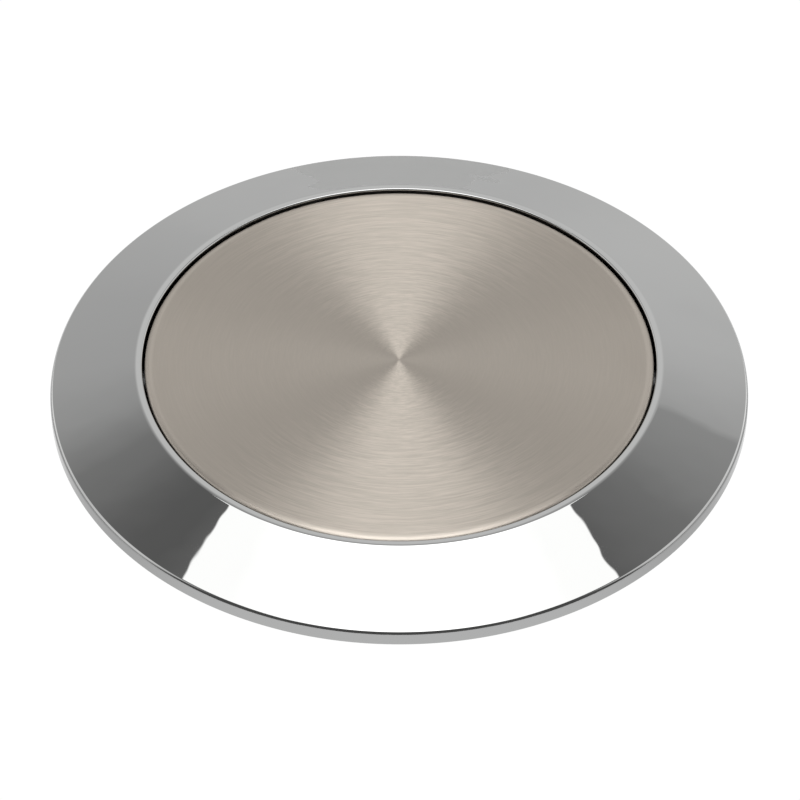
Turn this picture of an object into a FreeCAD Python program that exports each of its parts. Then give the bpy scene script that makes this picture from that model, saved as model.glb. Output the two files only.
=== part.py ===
"""Round desk grommet for an 80 mm hole, with a chromed bezel and a lid that tilts when its front is pressed.

Millimetres. The origin is the centre of the underside that rests on the desk: Z points up out of the desk,
X runs along the lid's pivot and -Y is the front, where the lid is pressed.
"""
import FreeCAD, Part
import math
import os
import re

import Sketcher
from FreeCAD import Placement, Rotation, Vector

SIZES = {
    # bezel ring
    "bezel_radius": 48.0,
    "bezel_edge": 2.0,
    "bezel_top": 6.65,
    "bezel_foot": 46.4,
    "bezel_wall": 1.7,
    "lip_radius": 36.2,
    "opening_radius": 35.25,
    "bezel_edge_round": 0.35,
    "lip_round": 0.3,
    # lid
    "lid_radius": 34.9,
    "lid_top": 6.45,
    "lid_sheet": 1.0,
    "lid_edge_round": 0.3,
    "adhesive_thickness": 0.2,
    "adhesive_radius": 31.5,
    "carrier_radius": 34.2,
    "carrier_plate": 1.45,
    "carrier_bottom": 2.0,
    "carrier_rim": 1.6,
    "ring_rib_radius": 18.6,
    "rib_width": 1.2,
    "rib_inner": 4.0,
    "rib_count": 12.0,
    "spring_bay_inner": 29.4,
    "spring_bay_front": 10.0,
    "spring_bay_back": 3.4,
    # pivots
    "pivot_height": 1.2,
    "pin_radius": 1.25,
    "pin_inner": 24.2,
    "pin_outer": 38.3,
    "pin_chamfer": 0.3,
    "boss_inner": 24.0,
    "boss_outer": 29.2,
    "boss_half_width": 3.2,
    "boss_bottom": -2.8,
    "running_gap": 0.03,
    "bush_half_width": 2.6,
    "bush_bottom": -1.4,
    "bush_top": 3.85,
    "bush_outer": 38.55,
    "collar_radius": 2.5,
    "collar_inner": 34.7,
    "fit_gap": 0.05,
    # return springs
    "spring_radius": 2.3,
    "wire_radius": 0.25,
    "spring_pitch": 0.8,
    "spring_turns": 4.5,
    "spring_start": 30.3,
    "spring_arm": 9.0,
    "spring_tail": 3.6,
    "spring_tail_end": 37.2,
    # sleeve
    "sleeve_bore": 36.2,
    "shoulder_radius": 39.5,
    "shoulder_depth": 6.0,
    "sleeve_depth": 36.0,
    "sleeve_lead_in": 0.5,
    "collar_root_radius": 39.85,
    "flange_radius": 43.8,
    "flange_bottom": 0.6,
    "flange_top": 1.85,
    "neck_top": 4.8,
    "neck_edge": 3.45,
    "neck_radius": 39.5,
    "gasket_inner": 39.9,
    "gasket_outer": 46.2,
    # thread of the sleeve and the ring nut
    "thread_pitch": 4.0,
    "thread_core": 38.2,
    "thread_crest": 39.3,
    "thread_root_width": 2.2,
    "thread_crest_width": 0.8,
    "thread_low": -34.6,
    "thread_length": 26.0,
    "thread_gap": 0.3,
    # lid stops
    "ledge_inner": 32.4,
    "ledge_bottom": -1.6,
    "ledge_top": 1.0,
    "ledge_sweep": 140.0,
    "bumper_inner": 32.7,
    "bumper_outer": 34.4,
    "bumper_height": 0.9,
    "bumper_sweep": 16.0,
    "bumper_azimuth": 38.0,
    "post_inner": 32.0,
    "post_front": -0.2,
    "post_back": 4.0,
    "post_bottom": -10.0,
    "post_height": 5.0,
    "pad_inner": 32.4,
    "pad_outer": 35.4,
    "pad_thickness": 0.85,
    "pad_margin": 0.5,
    # screws that hold the bezel, and screws that lock the pins
    "screw_circle": 41.4,
    "screw_radius": 1.0,
    "screw_head_radius": 1.8,
    "screw_head_land": 0.25,
    "screw_tip": 3.5,
    "socket_depth": 0.5,
    "socket_radius": 0.55,
    "boss_radius": 1.9,
    "boss_top": 3.72,
    "screw_gap": 0.02,
    "set_screw_position": 26.6,
    "set_screw_bottom": -2.7,
    # clamp under the desk top
    "desk_thickness": 18.0,
    "grip_pad_thickness": 1.0,
    "grip_pad_inner": 41.5,
    "grip_pad_outer": 46.0,
    "washer_thickness": 2.0,
    "washer_inner": 39.75,
    "washer_outer": 46.5,
    "key_width": 5.4,
    "key_radius": 38.5,
    "keyway_width": 6.0,
    "keyway_floor": 38.0,
    "keyway_top": -7.0,
    "nut_gap": 0.1,
    "nut_height": 8.0,
    "nut_bore": 38.55,
    "nut_root": 39.7,
    "nut_flange_radius": 47.0,
    "nut_flange": 2.0,
    "nut_radius": 43.0,
    "nut_lug_radius": 46.2,
    "nut_lug_width": 6.0,
    "nut_lug_count": 12.0,
    "nut_edge": 0.6,
    # how far a cut starts outside its piece, and how far an added feature sinks into it
    "overcut": 1.0,
    "weld": 0.2,
}

SCREW_COUNT = 4
TINY_VOLUME = 1e-3
TINY_LENGTH = 1e-4
SCREW_PLACE = f"screw_circle * {math.sqrt(0.5)}"

doc = FreeCAD.newDocument("desk_grommet")


def fill_sheet():
    """Put every driving dimension in the spreadsheet, one aliased cell each."""
    sheet = doc.addObject("Spreadsheet::Sheet", "Sizes")
    for row, (name, amount) in enumerate(SIZES.items(), start=1):
        sheet.set(f"A{row}", name)
        sheet.set(f"B{row}", str(amount))
        sheet.setAlias(f"B{row}", name)
    doc.recompute()
    return sheet


sheet = fill_sheet()


def bound(expression):
    """Point each size name in an expression at its cell."""
    return re.sub(r"[a-z]\w*", lambda name: f"Sizes.{name.group()}", str(expression))


def size(expression):
    """Give the number that an expression on the sheet comes to."""
    return float(sheet.evalExpression(bound(expression)))


def bind(target, place, expression):
    """Tie one property of an object to an expression on the sheet."""
    target.setExpression(place, bound(expression))


def new_body(label):
    """Start a sub-part; its label names its file."""
    body = doc.addObject("PartDesign::Body", label)
    body.Label = label
    body.AllowCompound = True
    return body


def new_sketch(body, name, role, across="0", up="0", above="0"):
    """Attach a sketch to one of the body's own origin planes, moved by expressions in the plane's frame."""
    sketch = body.newObject("Sketcher::SketchObject", name)
    plane = next(item for item in body.Origin.OriginFeatures if item.Role == role)
    sketch.AttachmentSupport = (plane, [""])
    sketch.MapMode = "FlatFace"
    bind(sketch, "AttachmentOffset.Base.x", across)
    bind(sketch, "AttachmentOffset.Base.y", up)
    bind(sketch, "AttachmentOffset.Base.z", above)
    return sketch


def fix_point(sketch, element, point, x, y):
    """Hold a sketch point at two expressions from the sketch's origin."""
    for kind, expression in (("DistanceX", x), ("DistanceY", y)):
        index = sketch.addConstraint(Sketcher.Constraint(kind, -1, 1, element, point, size(expression)))
        bind(sketch, f"Constraints[{index}]", expression)


def add_polygon(sketch, corners):
    """Draw a closed outline through corners that are pairs of expressions."""
    places = [Vector(size(x), size(y), 0) for x, y in corners]
    first = sketch.GeometryCount
    count = len(corners)
    for index, place in enumerate(places):
        sketch.addGeometry(Part.LineSegment(place, places[(index + 1) % count]), False)
    for index, (x, y) in enumerate(corners):
        fix_point(sketch, first + index, 1, x, y)
        following = first + (index + 1) % count
        sketch.addConstraint(Sketcher.Constraint("Coincident", first + index, 2, following, 1))


def add_rectangle(sketch, left, right, low, high):
    """Draw a rectangle between four expressions."""
    add_polygon(sketch, [(left, low), (right, low), (right, high), (left, high)])


def add_circle(sketch, x, y, radius):
    """Draw a circle from three expressions."""
    centre = Vector(size(x), size(y), 0)
    circle = sketch.addGeometry(Part.Circle(centre, Vector(0, 0, 1), size(radius)), False)
    fix_point(sketch, circle, 3, x, y)
    index = sketch.addConstraint(Sketcher.Constraint("Radius", circle, size(radius)))
    bind(sketch, f"Constraints[{index}]", radius)


def turn(body, name, sketch, kind="PartDesign::Revolution", sweep=None):
    """Revolve or groove a sketch about its own upright axis, a full turn or an even sweep each side of it."""
    before = body.Shape.Volume if kind == "PartDesign::Groove" else 0.0
    feature = body.newObject(kind, name)
    feature.Profile = (sketch, [""])
    feature.ReferenceAxis = (sketch, ["V_Axis"])
    feature.Angle = 360
    if sweep is not None:
        feature.Midplane = True
        bind(feature, "Angle", sweep)
    doc.recompute()
    if kind == "PartDesign::Groove":
        confirm_cut(body, name, before)
    return feature


def pad(body, name, sketch, length, midplane=False, backwards=False):
    """Raise a sketch by a length."""
    feature = body.newObject("PartDesign::Pad", name)
    feature.Profile = (sketch, [""])
    bind(feature, "Length", length)
    feature.Midplane = midplane
    feature.Reversed = backwards
    doc.recompute()
    return feature


def pocket(body, name, sketch, length, midplane=False, backwards=False):
    """Sink a sketch by a length and make sure that it cut something."""
    doc.recompute()
    before = body.Shape.Volume
    feature = body.newObject("PartDesign::Pocket", name)
    feature.Profile = (sketch, [""])
    bind(feature, "Length", length)
    feature.Midplane = midplane
    feature.Reversed = backwards
    doc.recompute()
    confirm_cut(body, name, before)
    return feature


def confirm_cut(body, name, before):
    """Stop if a cutting feature removed nothing."""
    if body.Shape.Volume > before - TINY_VOLUME:
        raise RuntimeError(f"{body.Label}: {name} cuts nothing")


def repeat_round(body, name, features, count):
    """Repeat features evenly about the body's upright axis."""
    pattern = body.newObject("PartDesign::PolarPattern", name)
    pattern.Originals = features
    axis = next(item for item in body.Origin.OriginFeatures if item.Role == "Z_Axis")
    pattern.Axis = (axis, [""])
    pattern.Angle = 360
    if isinstance(count, str):
        bind(pattern, "Occurrences", count)
    else:
        pattern.Occurrences = count
    body.Tip = pattern
    doc.recompute()
    return pattern


def circle_edges(body, radius, height):
    """Name the full-circle edges of a body with a given radius and height."""
    found = []
    for index, edge in enumerate(body.Shape.Edges, start=1):
        curve = edge.Curve
        if not isinstance(curve, Part.Circle):
            continue
        level = curve.Center.z
        if abs(curve.Radius - size(radius)) < TINY_LENGTH and abs(level - size(height)) < TINY_LENGTH:
            found.append(f"Edge{index}")
    return found


def soften(body, name, edges, amount, kind="PartDesign::Fillet", cell="Radius"):
    """Round or chamfer named edges of the body's tip."""
    if not edges:
        raise RuntimeError(f"{body.Label}: {name} found no edge")
    base = body.Tip
    feature = body.newObject(kind, name)
    feature.Base = (base, edges)
    bind(feature, cell, amount)
    doc.recompute()
    return feature


def screw_sketch(body, name):
    """Start a sketch whose upright axis is the first bezel screw's, 45 degrees round from the pivot."""
    return new_sketch(body, name, "XZ_Plane", across=SCREW_PLACE, above=f"-1 * {SCREW_PLACE}")


def build_bezel():
    """Die-cast ring: a flat lip round the opening, a long bevel, a short upright edge and screw bosses."""
    body = new_body("bezel_ring")
    under = "bezel_top - bezel_wall"
    fall = "(bezel_top - bezel_edge) / (bezel_radius - lip_radius)"
    outline = [
        ("bezel_foot", "0"),
        ("bezel_radius", "0"),
        ("bezel_radius", "bezel_edge"),
        ("lip_radius", "bezel_top"),
        ("opening_radius", "bezel_top"),
        ("opening_radius", under),
        ("lip_radius", under),
        ("bezel_foot", f"{under} - (bezel_foot - lip_radius) * {fall}"),
    ]
    section = new_sketch(body, "BezelSection", "XZ_Plane")
    add_polygon(section, outline)
    turn(body, "BezelShell", section)
    boss_section = screw_sketch(body, "BossSection")
    add_rectangle(boss_section, "0", "boss_radius", "flange_top", "boss_top")
    boss = turn(body, "Boss", boss_section)
    repeat_round(body, "Bosses", [boss], SCREW_COUNT)
    hole_section = screw_sketch(body, "HoleSection")
    hole_radius = "screw_radius + screw_gap"
    add_rectangle(hole_section, "0", hole_radius, "flange_top - overcut", "screw_tip + fit_gap")
    hole = turn(body, "BossHole", hole_section, "PartDesign::Groove")
    repeat_round(body, "BossHoles", [hole], SCREW_COUNT)
    rim = circle_edges(body, "bezel_radius", "bezel_edge")
    soften(body, "EdgeRound", rim, "bezel_edge_round")
    lip = circle_edges(body, "opening_radius", "bezel_top") + circle_edges(body, "lip_radius", "bezel_top")
    soften(body, "LipRound", lip, "lip_round")
    return body


def build_gasket():
    """Thin foam ring between the sleeve's flange and the desk top."""
    body = new_body("desk_gasket")
    section = new_sketch(body, "GasketSection", "XZ_Plane")
    add_rectangle(section, "gasket_inner", "gasket_outer", "0", "flange_bottom")
    turn(body, "Gasket", section)
    return body


def add_thread(body):
    """Wind the sleeve's outside thread, with its root just inside the core."""
    half_root = "thread_root_width / 2"
    half_crest = "thread_crest_width / 2"
    section = new_sketch(body, "ThreadSection", "XZ_Plane")
    outline = [
        ("thread_core - fit_gap", f"thread_low - {half_root}"),
        ("thread_crest", f"thread_low - {half_crest}"),
        ("thread_crest", f"thread_low + {half_crest}"),
        ("thread_core - fit_gap", f"thread_low + {half_root}"),
    ]
    add_polygon(section, outline)
    thread = body.newObject("PartDesign::AdditiveHelix", "Thread")
    thread.Profile = (section, [""])
    thread.ReferenceAxis = (section, ["V_Axis"])
    thread.Mode = "pitch-height-angle"
    bind(thread, "Pitch", "thread_pitch")
    bind(thread, "Height", "thread_length")
    doc.recompute()
    return thread


def build_sleeve():
    """Moulded tube with its flange, thread, keyways, bush pockets, closing ledge and opening stops."""
    body = new_body("sleeve")
    outline = [
        ("sleeve_bore", "-1 * sleeve_depth"),
        ("thread_core - sleeve_lead_in", "-1 * sleeve_depth"),
        ("thread_core", "sleeve_lead_in - sleeve_depth"),
        ("thread_core", "-1 * shoulder_depth"),
        ("shoulder_radius", "-1 * shoulder_depth"),
        ("shoulder_radius", "0"),
        ("collar_root_radius", "flange_bottom"),
        ("flange_radius", "flange_bottom"),
        ("flange_radius", "flange_top"),
        ("neck_radius", "flange_top"),
        ("neck_radius", "neck_edge"),
        ("sleeve_bore", "neck_top"),
    ]
    section = new_sketch(body, "SleeveSection", "XZ_Plane")
    add_polygon(section, outline)
    turn(body, "SleeveTube", section)
    ledge_section = new_sketch(body, "LedgeSection", "YZ_Plane")
    add_rectangle(ledge_section, "ledge_inner", "sleeve_bore + fit_gap", "ledge_bottom", "ledge_top")
    turn(body, "Ledge", ledge_section, sweep="ledge_sweep")
    posts = new_sketch(body, "PostSection", "XY_Plane", above="post_bottom")
    outer = "sleeve_bore + weld"
    add_rectangle(posts, "post_inner", outer, "post_front", "post_back")
    add_rectangle(posts, f"-1 * ({outer})", "-1 * post_inner", "post_front", "post_back")
    pad(body, "OpenStops", posts, "post_height")
    add_thread(body)
    keyway = new_sketch(body, "KeywaySection", "XY_Plane", above="-1 * sleeve_depth")
    half = "keyway_width / 2"
    add_rectangle(keyway, f"-1 * {half}", half, "keyway_floor", "thread_crest + overcut")
    cut = pocket(body, "Keyway", keyway, "sleeve_depth + keyway_top", backwards=True)
    repeat_round(body, "Keyways", [cut], 2)
    bed = new_sketch(body, "BushBedSection", "XY_Plane", above="bush_bottom - fit_gap")
    width = "bush_half_width + fit_gap"
    add_rectangle(bed, "sleeve_bore - overcut", "bush_outer + fit_gap", f"-1 * ({width})", width)
    cut = pocket(body, "BushBed", bed, "neck_top + overcut - bush_bottom", backwards=True)
    repeat_round(body, "BushBeds", [cut], 2)
    tail = new_sketch(body, "TailHoleSection", "YZ_Plane")
    add_circle(tail, "-1 * spring_tail", "pivot_height - spring_radius", "wire_radius + fit_gap")
    pocket(body, "TailHoles", tail, "2 * (spring_tail_end + fit_gap)", midplane=True)
    hole_section = screw_sketch(body, "ScrewHoleSection")
    add_polygon(hole_section, screw_outline("screw_gap", "flange_bottom - overcut", "flange_top + overcut"))
    hole = turn(body, "ScrewHole", hole_section, "PartDesign::Groove")
    repeat_round(body, "ScrewHoles", [hole], SCREW_COUNT)
    return body


def screw_outline(gap, low, high):
    """Half section of a countersunk screw about its own axis, grown by a gap."""
    head = f"screw_head_radius + {gap}"
    shank = f"screw_radius + {gap}"
    land = "flange_bottom + screw_head_land"
    return [
        ("0", low),
        (head, low),
        (head, land),
        (shank, f"{land} + screw_head_radius - screw_radius"),
        (shank, high),
        ("0", high),
    ]


def build_bezel_screws():
    """Four countersunk screws that go up through the flange into the bezel's bosses."""
    body = new_body("bezel_screws")
    section = screw_sketch(body, "ScrewSection")
    add_polygon(section, screw_outline("0", "flange_bottom", "screw_tip"))
    screw = turn(body, "Screw", section)
    repeat_round(body, "Screws", [screw], SCREW_COUNT)
    socket = screw_sketch(body, "SocketSection")
    add_rectangle(socket, "0", "socket_radius", "flange_bottom - overcut", "flange_bottom + socket_depth")
    hole = turn(body, "Socket", socket, "PartDesign::Groove")
    repeat_round(body, "Sockets", [hole], SCREW_COUNT)
    return body


def build_lid_disc():
    """Stainless disc that lies just below the bezel's lip."""
    body = new_body("lid_disc")
    section = new_sketch(body, "DiscSection", "XY_Plane", above="lid_top - lid_sheet")
    add_circle(section, "0", "0", "lid_radius")
    pad(body, "Disc", section, "lid_sheet")
    rim = circle_edges(body, "lid_radius", "lid_top")
    soften(body, "DiscRound", rim, "lid_edge_round")
    return body


def build_adhesive():
    """Double-sided pad that bonds the disc to its carrier."""
    body = new_body("lid_adhesive_pad")
    section = new_sketch(body, "PadSection", "XY_Plane", above="lid_top - lid_sheet - adhesive_thickness")
    add_circle(section, "0", "0", "adhesive_radius")
    pad(body, "AdhesivePad", section, "adhesive_thickness")
    return body


def build_carrier():
    """Moulded plate under the disc, with a rim, ribs, two pin bosses and a bay for each spring."""
    body = new_body("lid_carrier")
    top = "lid_top - lid_sheet - adhesive_thickness"
    plate = f"{top} - carrier_plate"
    rim = "carrier_radius - carrier_rim"
    ring = "ring_rib_radius - rib_width"
    outline = [
        ("0", plate),
        (ring, plate),
        (ring, "carrier_bottom"),
        ("ring_rib_radius", "carrier_bottom"),
        ("ring_rib_radius", plate),
        (rim, plate),
        (rim, "carrier_bottom"),
        ("carrier_radius", "carrier_bottom"),
        ("carrier_radius", top),
        ("0", top),
    ]
    section = new_sketch(body, "CarrierSection", "XZ_Plane")
    add_polygon(section, outline)
    turn(body, "CarrierPlate", section)
    rib_plane = new_sketch(body, "RibSection", "XY_Plane", above="carrier_bottom")
    rib_plane.AttachmentOffset = Placement(Vector(), Rotation(Vector(0, 0, 1), size("180 / rib_count")))
    bind(rib_plane, "AttachmentOffset.Rotation.Angle", "180 / rib_count")
    half = "rib_width / 2"
    add_rectangle(rib_plane, "rib_inner", f"{rim} + weld", f"-1 * {half}", half)
    rib = pad(body, "Rib", rib_plane, f"{plate} - carrier_bottom + weld")
    repeat_round(body, "Ribs", [rib], "rib_count")
    bay = new_sketch(body, "BaySection", "XY_Plane", above="carrier_bottom - overcut")
    for side in ("", "-1 * "):
        inner = f"{side}spring_bay_inner"
        outer = f"{side}(carrier_radius + overcut)"
        add_rectangle(bay, *sorted((inner, outer), key=size), "-1 * spring_bay_front", "spring_bay_back")
    pocket(body, "SpringBays", bay, f"{plate} - carrier_bottom + overcut", backwards=True)
    for side, name in (("", "Right"), ("-1 * ", "Left")):
        boss = new_sketch(body, f"{name}BossSection", "XY_Plane", above="boss_bottom")
        inner, outer = sorted((f"{side}boss_inner", f"{side}boss_outer"), key=size)
        add_rectangle(boss, inner, outer, "-1 * boss_half_width", "boss_half_width")
        pad(body, f"{name}Boss", boss, f"{plate} - boss_bottom + weld")
    screw_hole = new_sketch(body, "SetScrewSection", "XY_Plane", above="boss_bottom - overcut")
    for side in ("", "-1 * "):
        add_circle(screw_hole, f"{side}set_screw_position", "0", "screw_radius + screw_gap")
    pocket(body, "SetScrewHoles", screw_hole, "pivot_height - boss_bottom + overcut", backwards=True)
    pin_hole = new_sketch(body, "PinHoleSection", "YZ_Plane")
    add_circle(pin_hole, "0", "pivot_height", "pin_radius + screw_gap")
    pocket(body, "PinHoles", pin_hole, "2 * (boss_outer + overcut)", midplane=True)
    return body


def along_pivot(body, side):
    """Lay a body modelled along its own Z on the pivot, pointing away from the lid's centre."""
    body.Placement = Placement(Vector(0, 0, size("pivot_height")), Rotation(Vector(0, 1, 0), 90 * side))
    bind(body, "Placement.Base.z", "pivot_height")


def build_pin(label, side):
    """Steel pin, held in the carrier's boss and turning in the bush."""
    body = new_body(label)
    section = new_sketch(body, "PinSection", "XY_Plane", above="pin_inner")
    add_circle(section, "0", "0", "pin_radius")
    pad(body, "Pin", section, "pin_outer - pin_inner")
    ends = circle_edges(body, "pin_radius", "pin_inner") + circle_edges(body, "pin_radius", "pin_outer")
    soften(body, "PinEnds", ends, "pin_chamfer", "PartDesign::Chamfer", "Size")
    along_pivot(body, side)
    return body


def build_bush(label, side):
    """Acetal bearing block that drops into the sleeve's bed, with a thrust collar towards the lid."""
    body = new_body(label)
    section = new_sketch(body, "BlockSection", "XY_Plane", above="sleeve_bore")
    low = f"{-side} * (bush_bottom - pivot_height)"
    high = f"{-side} * (bush_top - pivot_height)"
    add_rectangle(section, *sorted((low, high), key=size), "-1 * bush_half_width", "bush_half_width")
    pad(body, "Block", section, "bush_outer - sleeve_bore")
    collar = new_sketch(body, "CollarSection", "XY_Plane", above="collar_inner")
    add_circle(collar, "0", "0", "collar_radius")
    pad(body, "Collar", collar, "sleeve_bore - collar_inner + weld")
    bore = new_sketch(body, "BoreSection", "XY_Plane", above="collar_inner - overcut")
    add_circle(bore, "0", "0", "pin_radius + running_gap")
    pocket(body, "Bore", bore, "bush_outer - collar_inner + 2 * overcut", backwards=True)
    along_pivot(body, side)
    return body


def build_spring(label, side):
    """Torsion spring round the pin: an arm under the lid's front half, a tail hooked into the sleeve."""
    body = new_body(label)
    top = f"{-side} * spring_radius"
    bottom = f"{side} * spring_radius"
    coil = new_sketch(body, "WireSection", "XZ_Plane")
    add_circle(coil, top, "spring_start", "wire_radius")
    helix = body.newObject("PartDesign::AdditiveHelix", "Coil")
    helix.Profile = (coil, [""])
    helix.ReferenceAxis = (coil, ["V_Axis"])
    helix.Mode = "pitch-turns-angle"
    bind(helix, "Pitch", "spring_pitch")
    bind(helix, "Turns", "spring_turns")
    helix.LeftHanded = side > 0
    doc.recompute()
    arm = new_sketch(body, "ArmSection", "XZ_Plane")
    add_circle(arm, top, "spring_start", "wire_radius")
    pad(body, "Arm", arm, "spring_arm")
    end = "spring_start + spring_pitch * spring_turns"
    tail = new_sketch(body, "TailSection", "XZ_Plane")
    add_circle(tail, bottom, end, "wire_radius")
    pad(body, "Tail", tail, "spring_tail + wire_radius")
    hook = new_sketch(body, "HookSection", "XY_Plane", above=f"{end} - wire_radius")
    add_circle(hook, bottom, "-1 * spring_tail", "wire_radius")
    pad(body, "Hook", hook, f"spring_tail_end - ({end}) + wire_radius")
    along_pivot(body, side)
    return body


def build_set_screw(label, side):
    """Socket set screw that locks a pin in its boss from below."""
    body = new_body(label)
    place = f"{side} * set_screw_position"
    section = new_sketch(body, "SetScrewSection", "XY_Plane", above="set_screw_bottom")
    add_circle(section, place, "0", "screw_radius")
    pad(body, "SetScrew", section, "pivot_height - pin_radius - set_screw_bottom - fit_gap")
    socket = new_sketch(body, "SocketSection", "XY_Plane", above="set_screw_bottom - overcut")
    add_circle(socket, place, "0", "socket_radius")
    pocket(body, "Socket", socket, "2 * socket_depth + overcut", backwards=True)
    return body


def build_close_bumper(label, side):
    """Rubber strip on the ledge that the lid's back half comes down on."""
    body = new_body(label)
    section = new_sketch(body, "BumperSection", "YZ_Plane")
    add_rectangle(section, "bumper_inner", "bumper_outer", "ledge_top", "ledge_top + bumper_height")
    turn(body, "Bumper", section, sweep="bumper_sweep")
    body.Placement = Placement(Vector(), Rotation(Vector(0, 0, 1), -side * size("bumper_azimuth")))
    return body


def build_open_bumper(label, side):
    """Rubber pad on the stop post that the lid meets when it stands open."""
    body = new_body(label)
    section = new_sketch(body, "PadSection", "XY_Plane", above="post_bottom + pad_margin")
    inner, outer = sorted((f"{side} * pad_inner", f"{side} * pad_outer"), key=size)
    add_rectangle(section, inner, outer, "post_front - pad_thickness", "post_front")
    pad(body, "Pad", section, "post_height - 2 * pad_margin")
    return body


def build_grip_pad():
    """Rubber ring on the clamp washer, against the underside of the desk top."""
    body = new_body("grip_pad")
    section = new_sketch(body, "GripPadSection", "XZ_Plane")
    low = "-1 * (desk_thickness + grip_pad_thickness)"
    add_rectangle(section, "grip_pad_inner", "grip_pad_outer", low, "-1 * desk_thickness")
    turn(body, "GripPad", section)
    return body


def build_clamp_washer():
    """Washer with two keys in the sleeve's keyways, so that it slides and can't turn with the nut."""
    body = new_body("clamp_washer")
    top = "-1 * (desk_thickness + grip_pad_thickness)"
    section = new_sketch(body, "WasherSection", "XZ_Plane")
    add_rectangle(section, "washer_inner", "washer_outer", f"{top} - washer_thickness", top)
    turn(body, "Washer", section)
    key = new_sketch(body, "KeySection", "XY_Plane", above=f"{top} - washer_thickness")
    half = "key_width / 2"
    add_rectangle(key, f"-1 * {half}", half, "key_radius", "washer_inner + overcut")
    tongue = pad(body, "Key", key, "washer_thickness")
    repeat_round(body, "Keys", [tongue], 2)
    return body


def build_ring_nut():
    """Ring nut with an inside thread, a flange against the washer and grip lugs for the fingers."""
    body = new_body("ring_nut")
    top = "-1 * (desk_thickness + grip_pad_thickness + washer_thickness + nut_gap)"
    bottom = f"{top} - nut_height"
    outline = [
        ("nut_bore", bottom),
        ("nut_radius - nut_edge", bottom),
        ("nut_radius", f"{bottom} + nut_edge"),
        ("nut_radius", f"{top} - nut_flange"),
        ("nut_flange_radius", f"{top} - nut_flange"),
        ("nut_flange_radius", top),
        ("nut_bore", top),
    ]
    section = new_sketch(body, "NutSection", "XZ_Plane")
    add_polygon(section, outline)
    turn(body, "NutRing", section)
    lug_plane = new_sketch(body, "LugSection", "XY_Plane", above=bottom)
    half = "nut_lug_width / 2"
    narrow = "nut_lug_width / 3"
    lug_outline = [
        ("nut_radius - overcut", f"-1 * {half}"),
        ("nut_lug_radius", f"-1 * {narrow}"),
        ("nut_lug_radius", narrow),
        ("nut_radius - overcut", half),
    ]
    add_polygon(lug_plane, lug_outline)
    lug = pad(body, "Lug", lug_plane, "nut_height - nut_flange + weld")
    repeat_round(body, "Lugs", [lug], "nut_lug_count")
    groove_section = new_sketch(body, "GrooveSection", "XZ_Plane")
    start = "thread_low + thread_pitch"
    slope = "(thread_root_width - thread_crest_width) / 2 / (thread_crest - thread_core)"
    mouth_radius = "nut_bore - weld"
    mouth = f"thread_root_width / 2 - ({mouth_radius} - thread_core) * {slope} + thread_gap"
    floor = f"thread_crest_width / 2 - (nut_root - thread_crest) * {slope} + thread_gap"
    groove_outline = [
        (mouth_radius, f"{start} - ({mouth})"),
        ("nut_root", f"{start} - ({floor})"),
        ("nut_root", f"{start} + {floor}"),
        (mouth_radius, f"{start} + {mouth}"),
    ]
    add_polygon(groove_section, groove_outline)
    doc.recompute()
    before = body.Shape.Volume
    groove = body.newObject("PartDesign::SubtractiveHelix", "InsideThread")
    groove.Profile = (groove_section, [""])
    groove.ReferenceAxis = (groove_section, ["V_Axis"])
    groove.Mode = "pitch-height-angle"
    bind(groove, "Pitch", "thread_pitch")
    bind(groove, "Height", "nut_height + thread_pitch")
    doc.recompute()
    confirm_cut(body, "InsideThread", before)
    return body


def build_all():
    """Make every sub-part of the grommet."""
    bodies = [
        build_bezel(),
        build_bezel_screws(),
        build_gasket(),
        build_sleeve(),
        build_lid_disc(),
        build_adhesive(),
        build_carrier(),
    ]
    for name, side in (("right", 1), ("left", -1)):
        bodies.append(build_pin(f"pivot_pin_{name}", side))
        bodies.append(build_bush(f"pivot_bush_{name}", side))
        bodies.append(build_spring(f"return_spring_{name}", side))
        bodies.append(build_set_screw(f"pin_set_screw_{name}", side))
        bodies.append(build_close_bumper(f"close_bumper_{name}", side))
        bodies.append(build_open_bumper(f"open_bumper_{name}", side))
    bodies.append(build_grip_pad())
    bodies.append(build_clamp_washer())
    bodies.append(build_ring_nut())
    return bodies


def check_and_write(bodies):
    """Stop on any failed object or shape, then write one STEP file for each sub-part."""
    doc.recompute()
    for item in doc.Objects:
        if "Invalid" in item.State or "Error" in item.State:
            raise RuntimeError(f"{item.Label}: {item.State}")
    for body in bodies:
        if body.Shape.isNull() or not body.Shape.isValid():
            raise RuntimeError(f"{body.Label}: no valid shape")
    os.makedirs("parts", exist_ok=True)
    for body in bodies:
        body.Shape.exportStep(f"parts/{body.Label}.step")
        print(f"{body.Label}: {len(body.Shape.Solids)} solid(s), {body.Shape.Volume:.1f} mm3")


check_and_write(build_all())
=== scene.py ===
"""Desk grommet for an 80 mm hole: its looks, studio and camera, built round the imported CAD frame."""
import logging
import math
from collections.abc import Callable, Sequence
from dataclasses import dataclass, field
from enum import Enum

import bmesh
import bpy
from mathutils import Matrix, Vector


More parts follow.
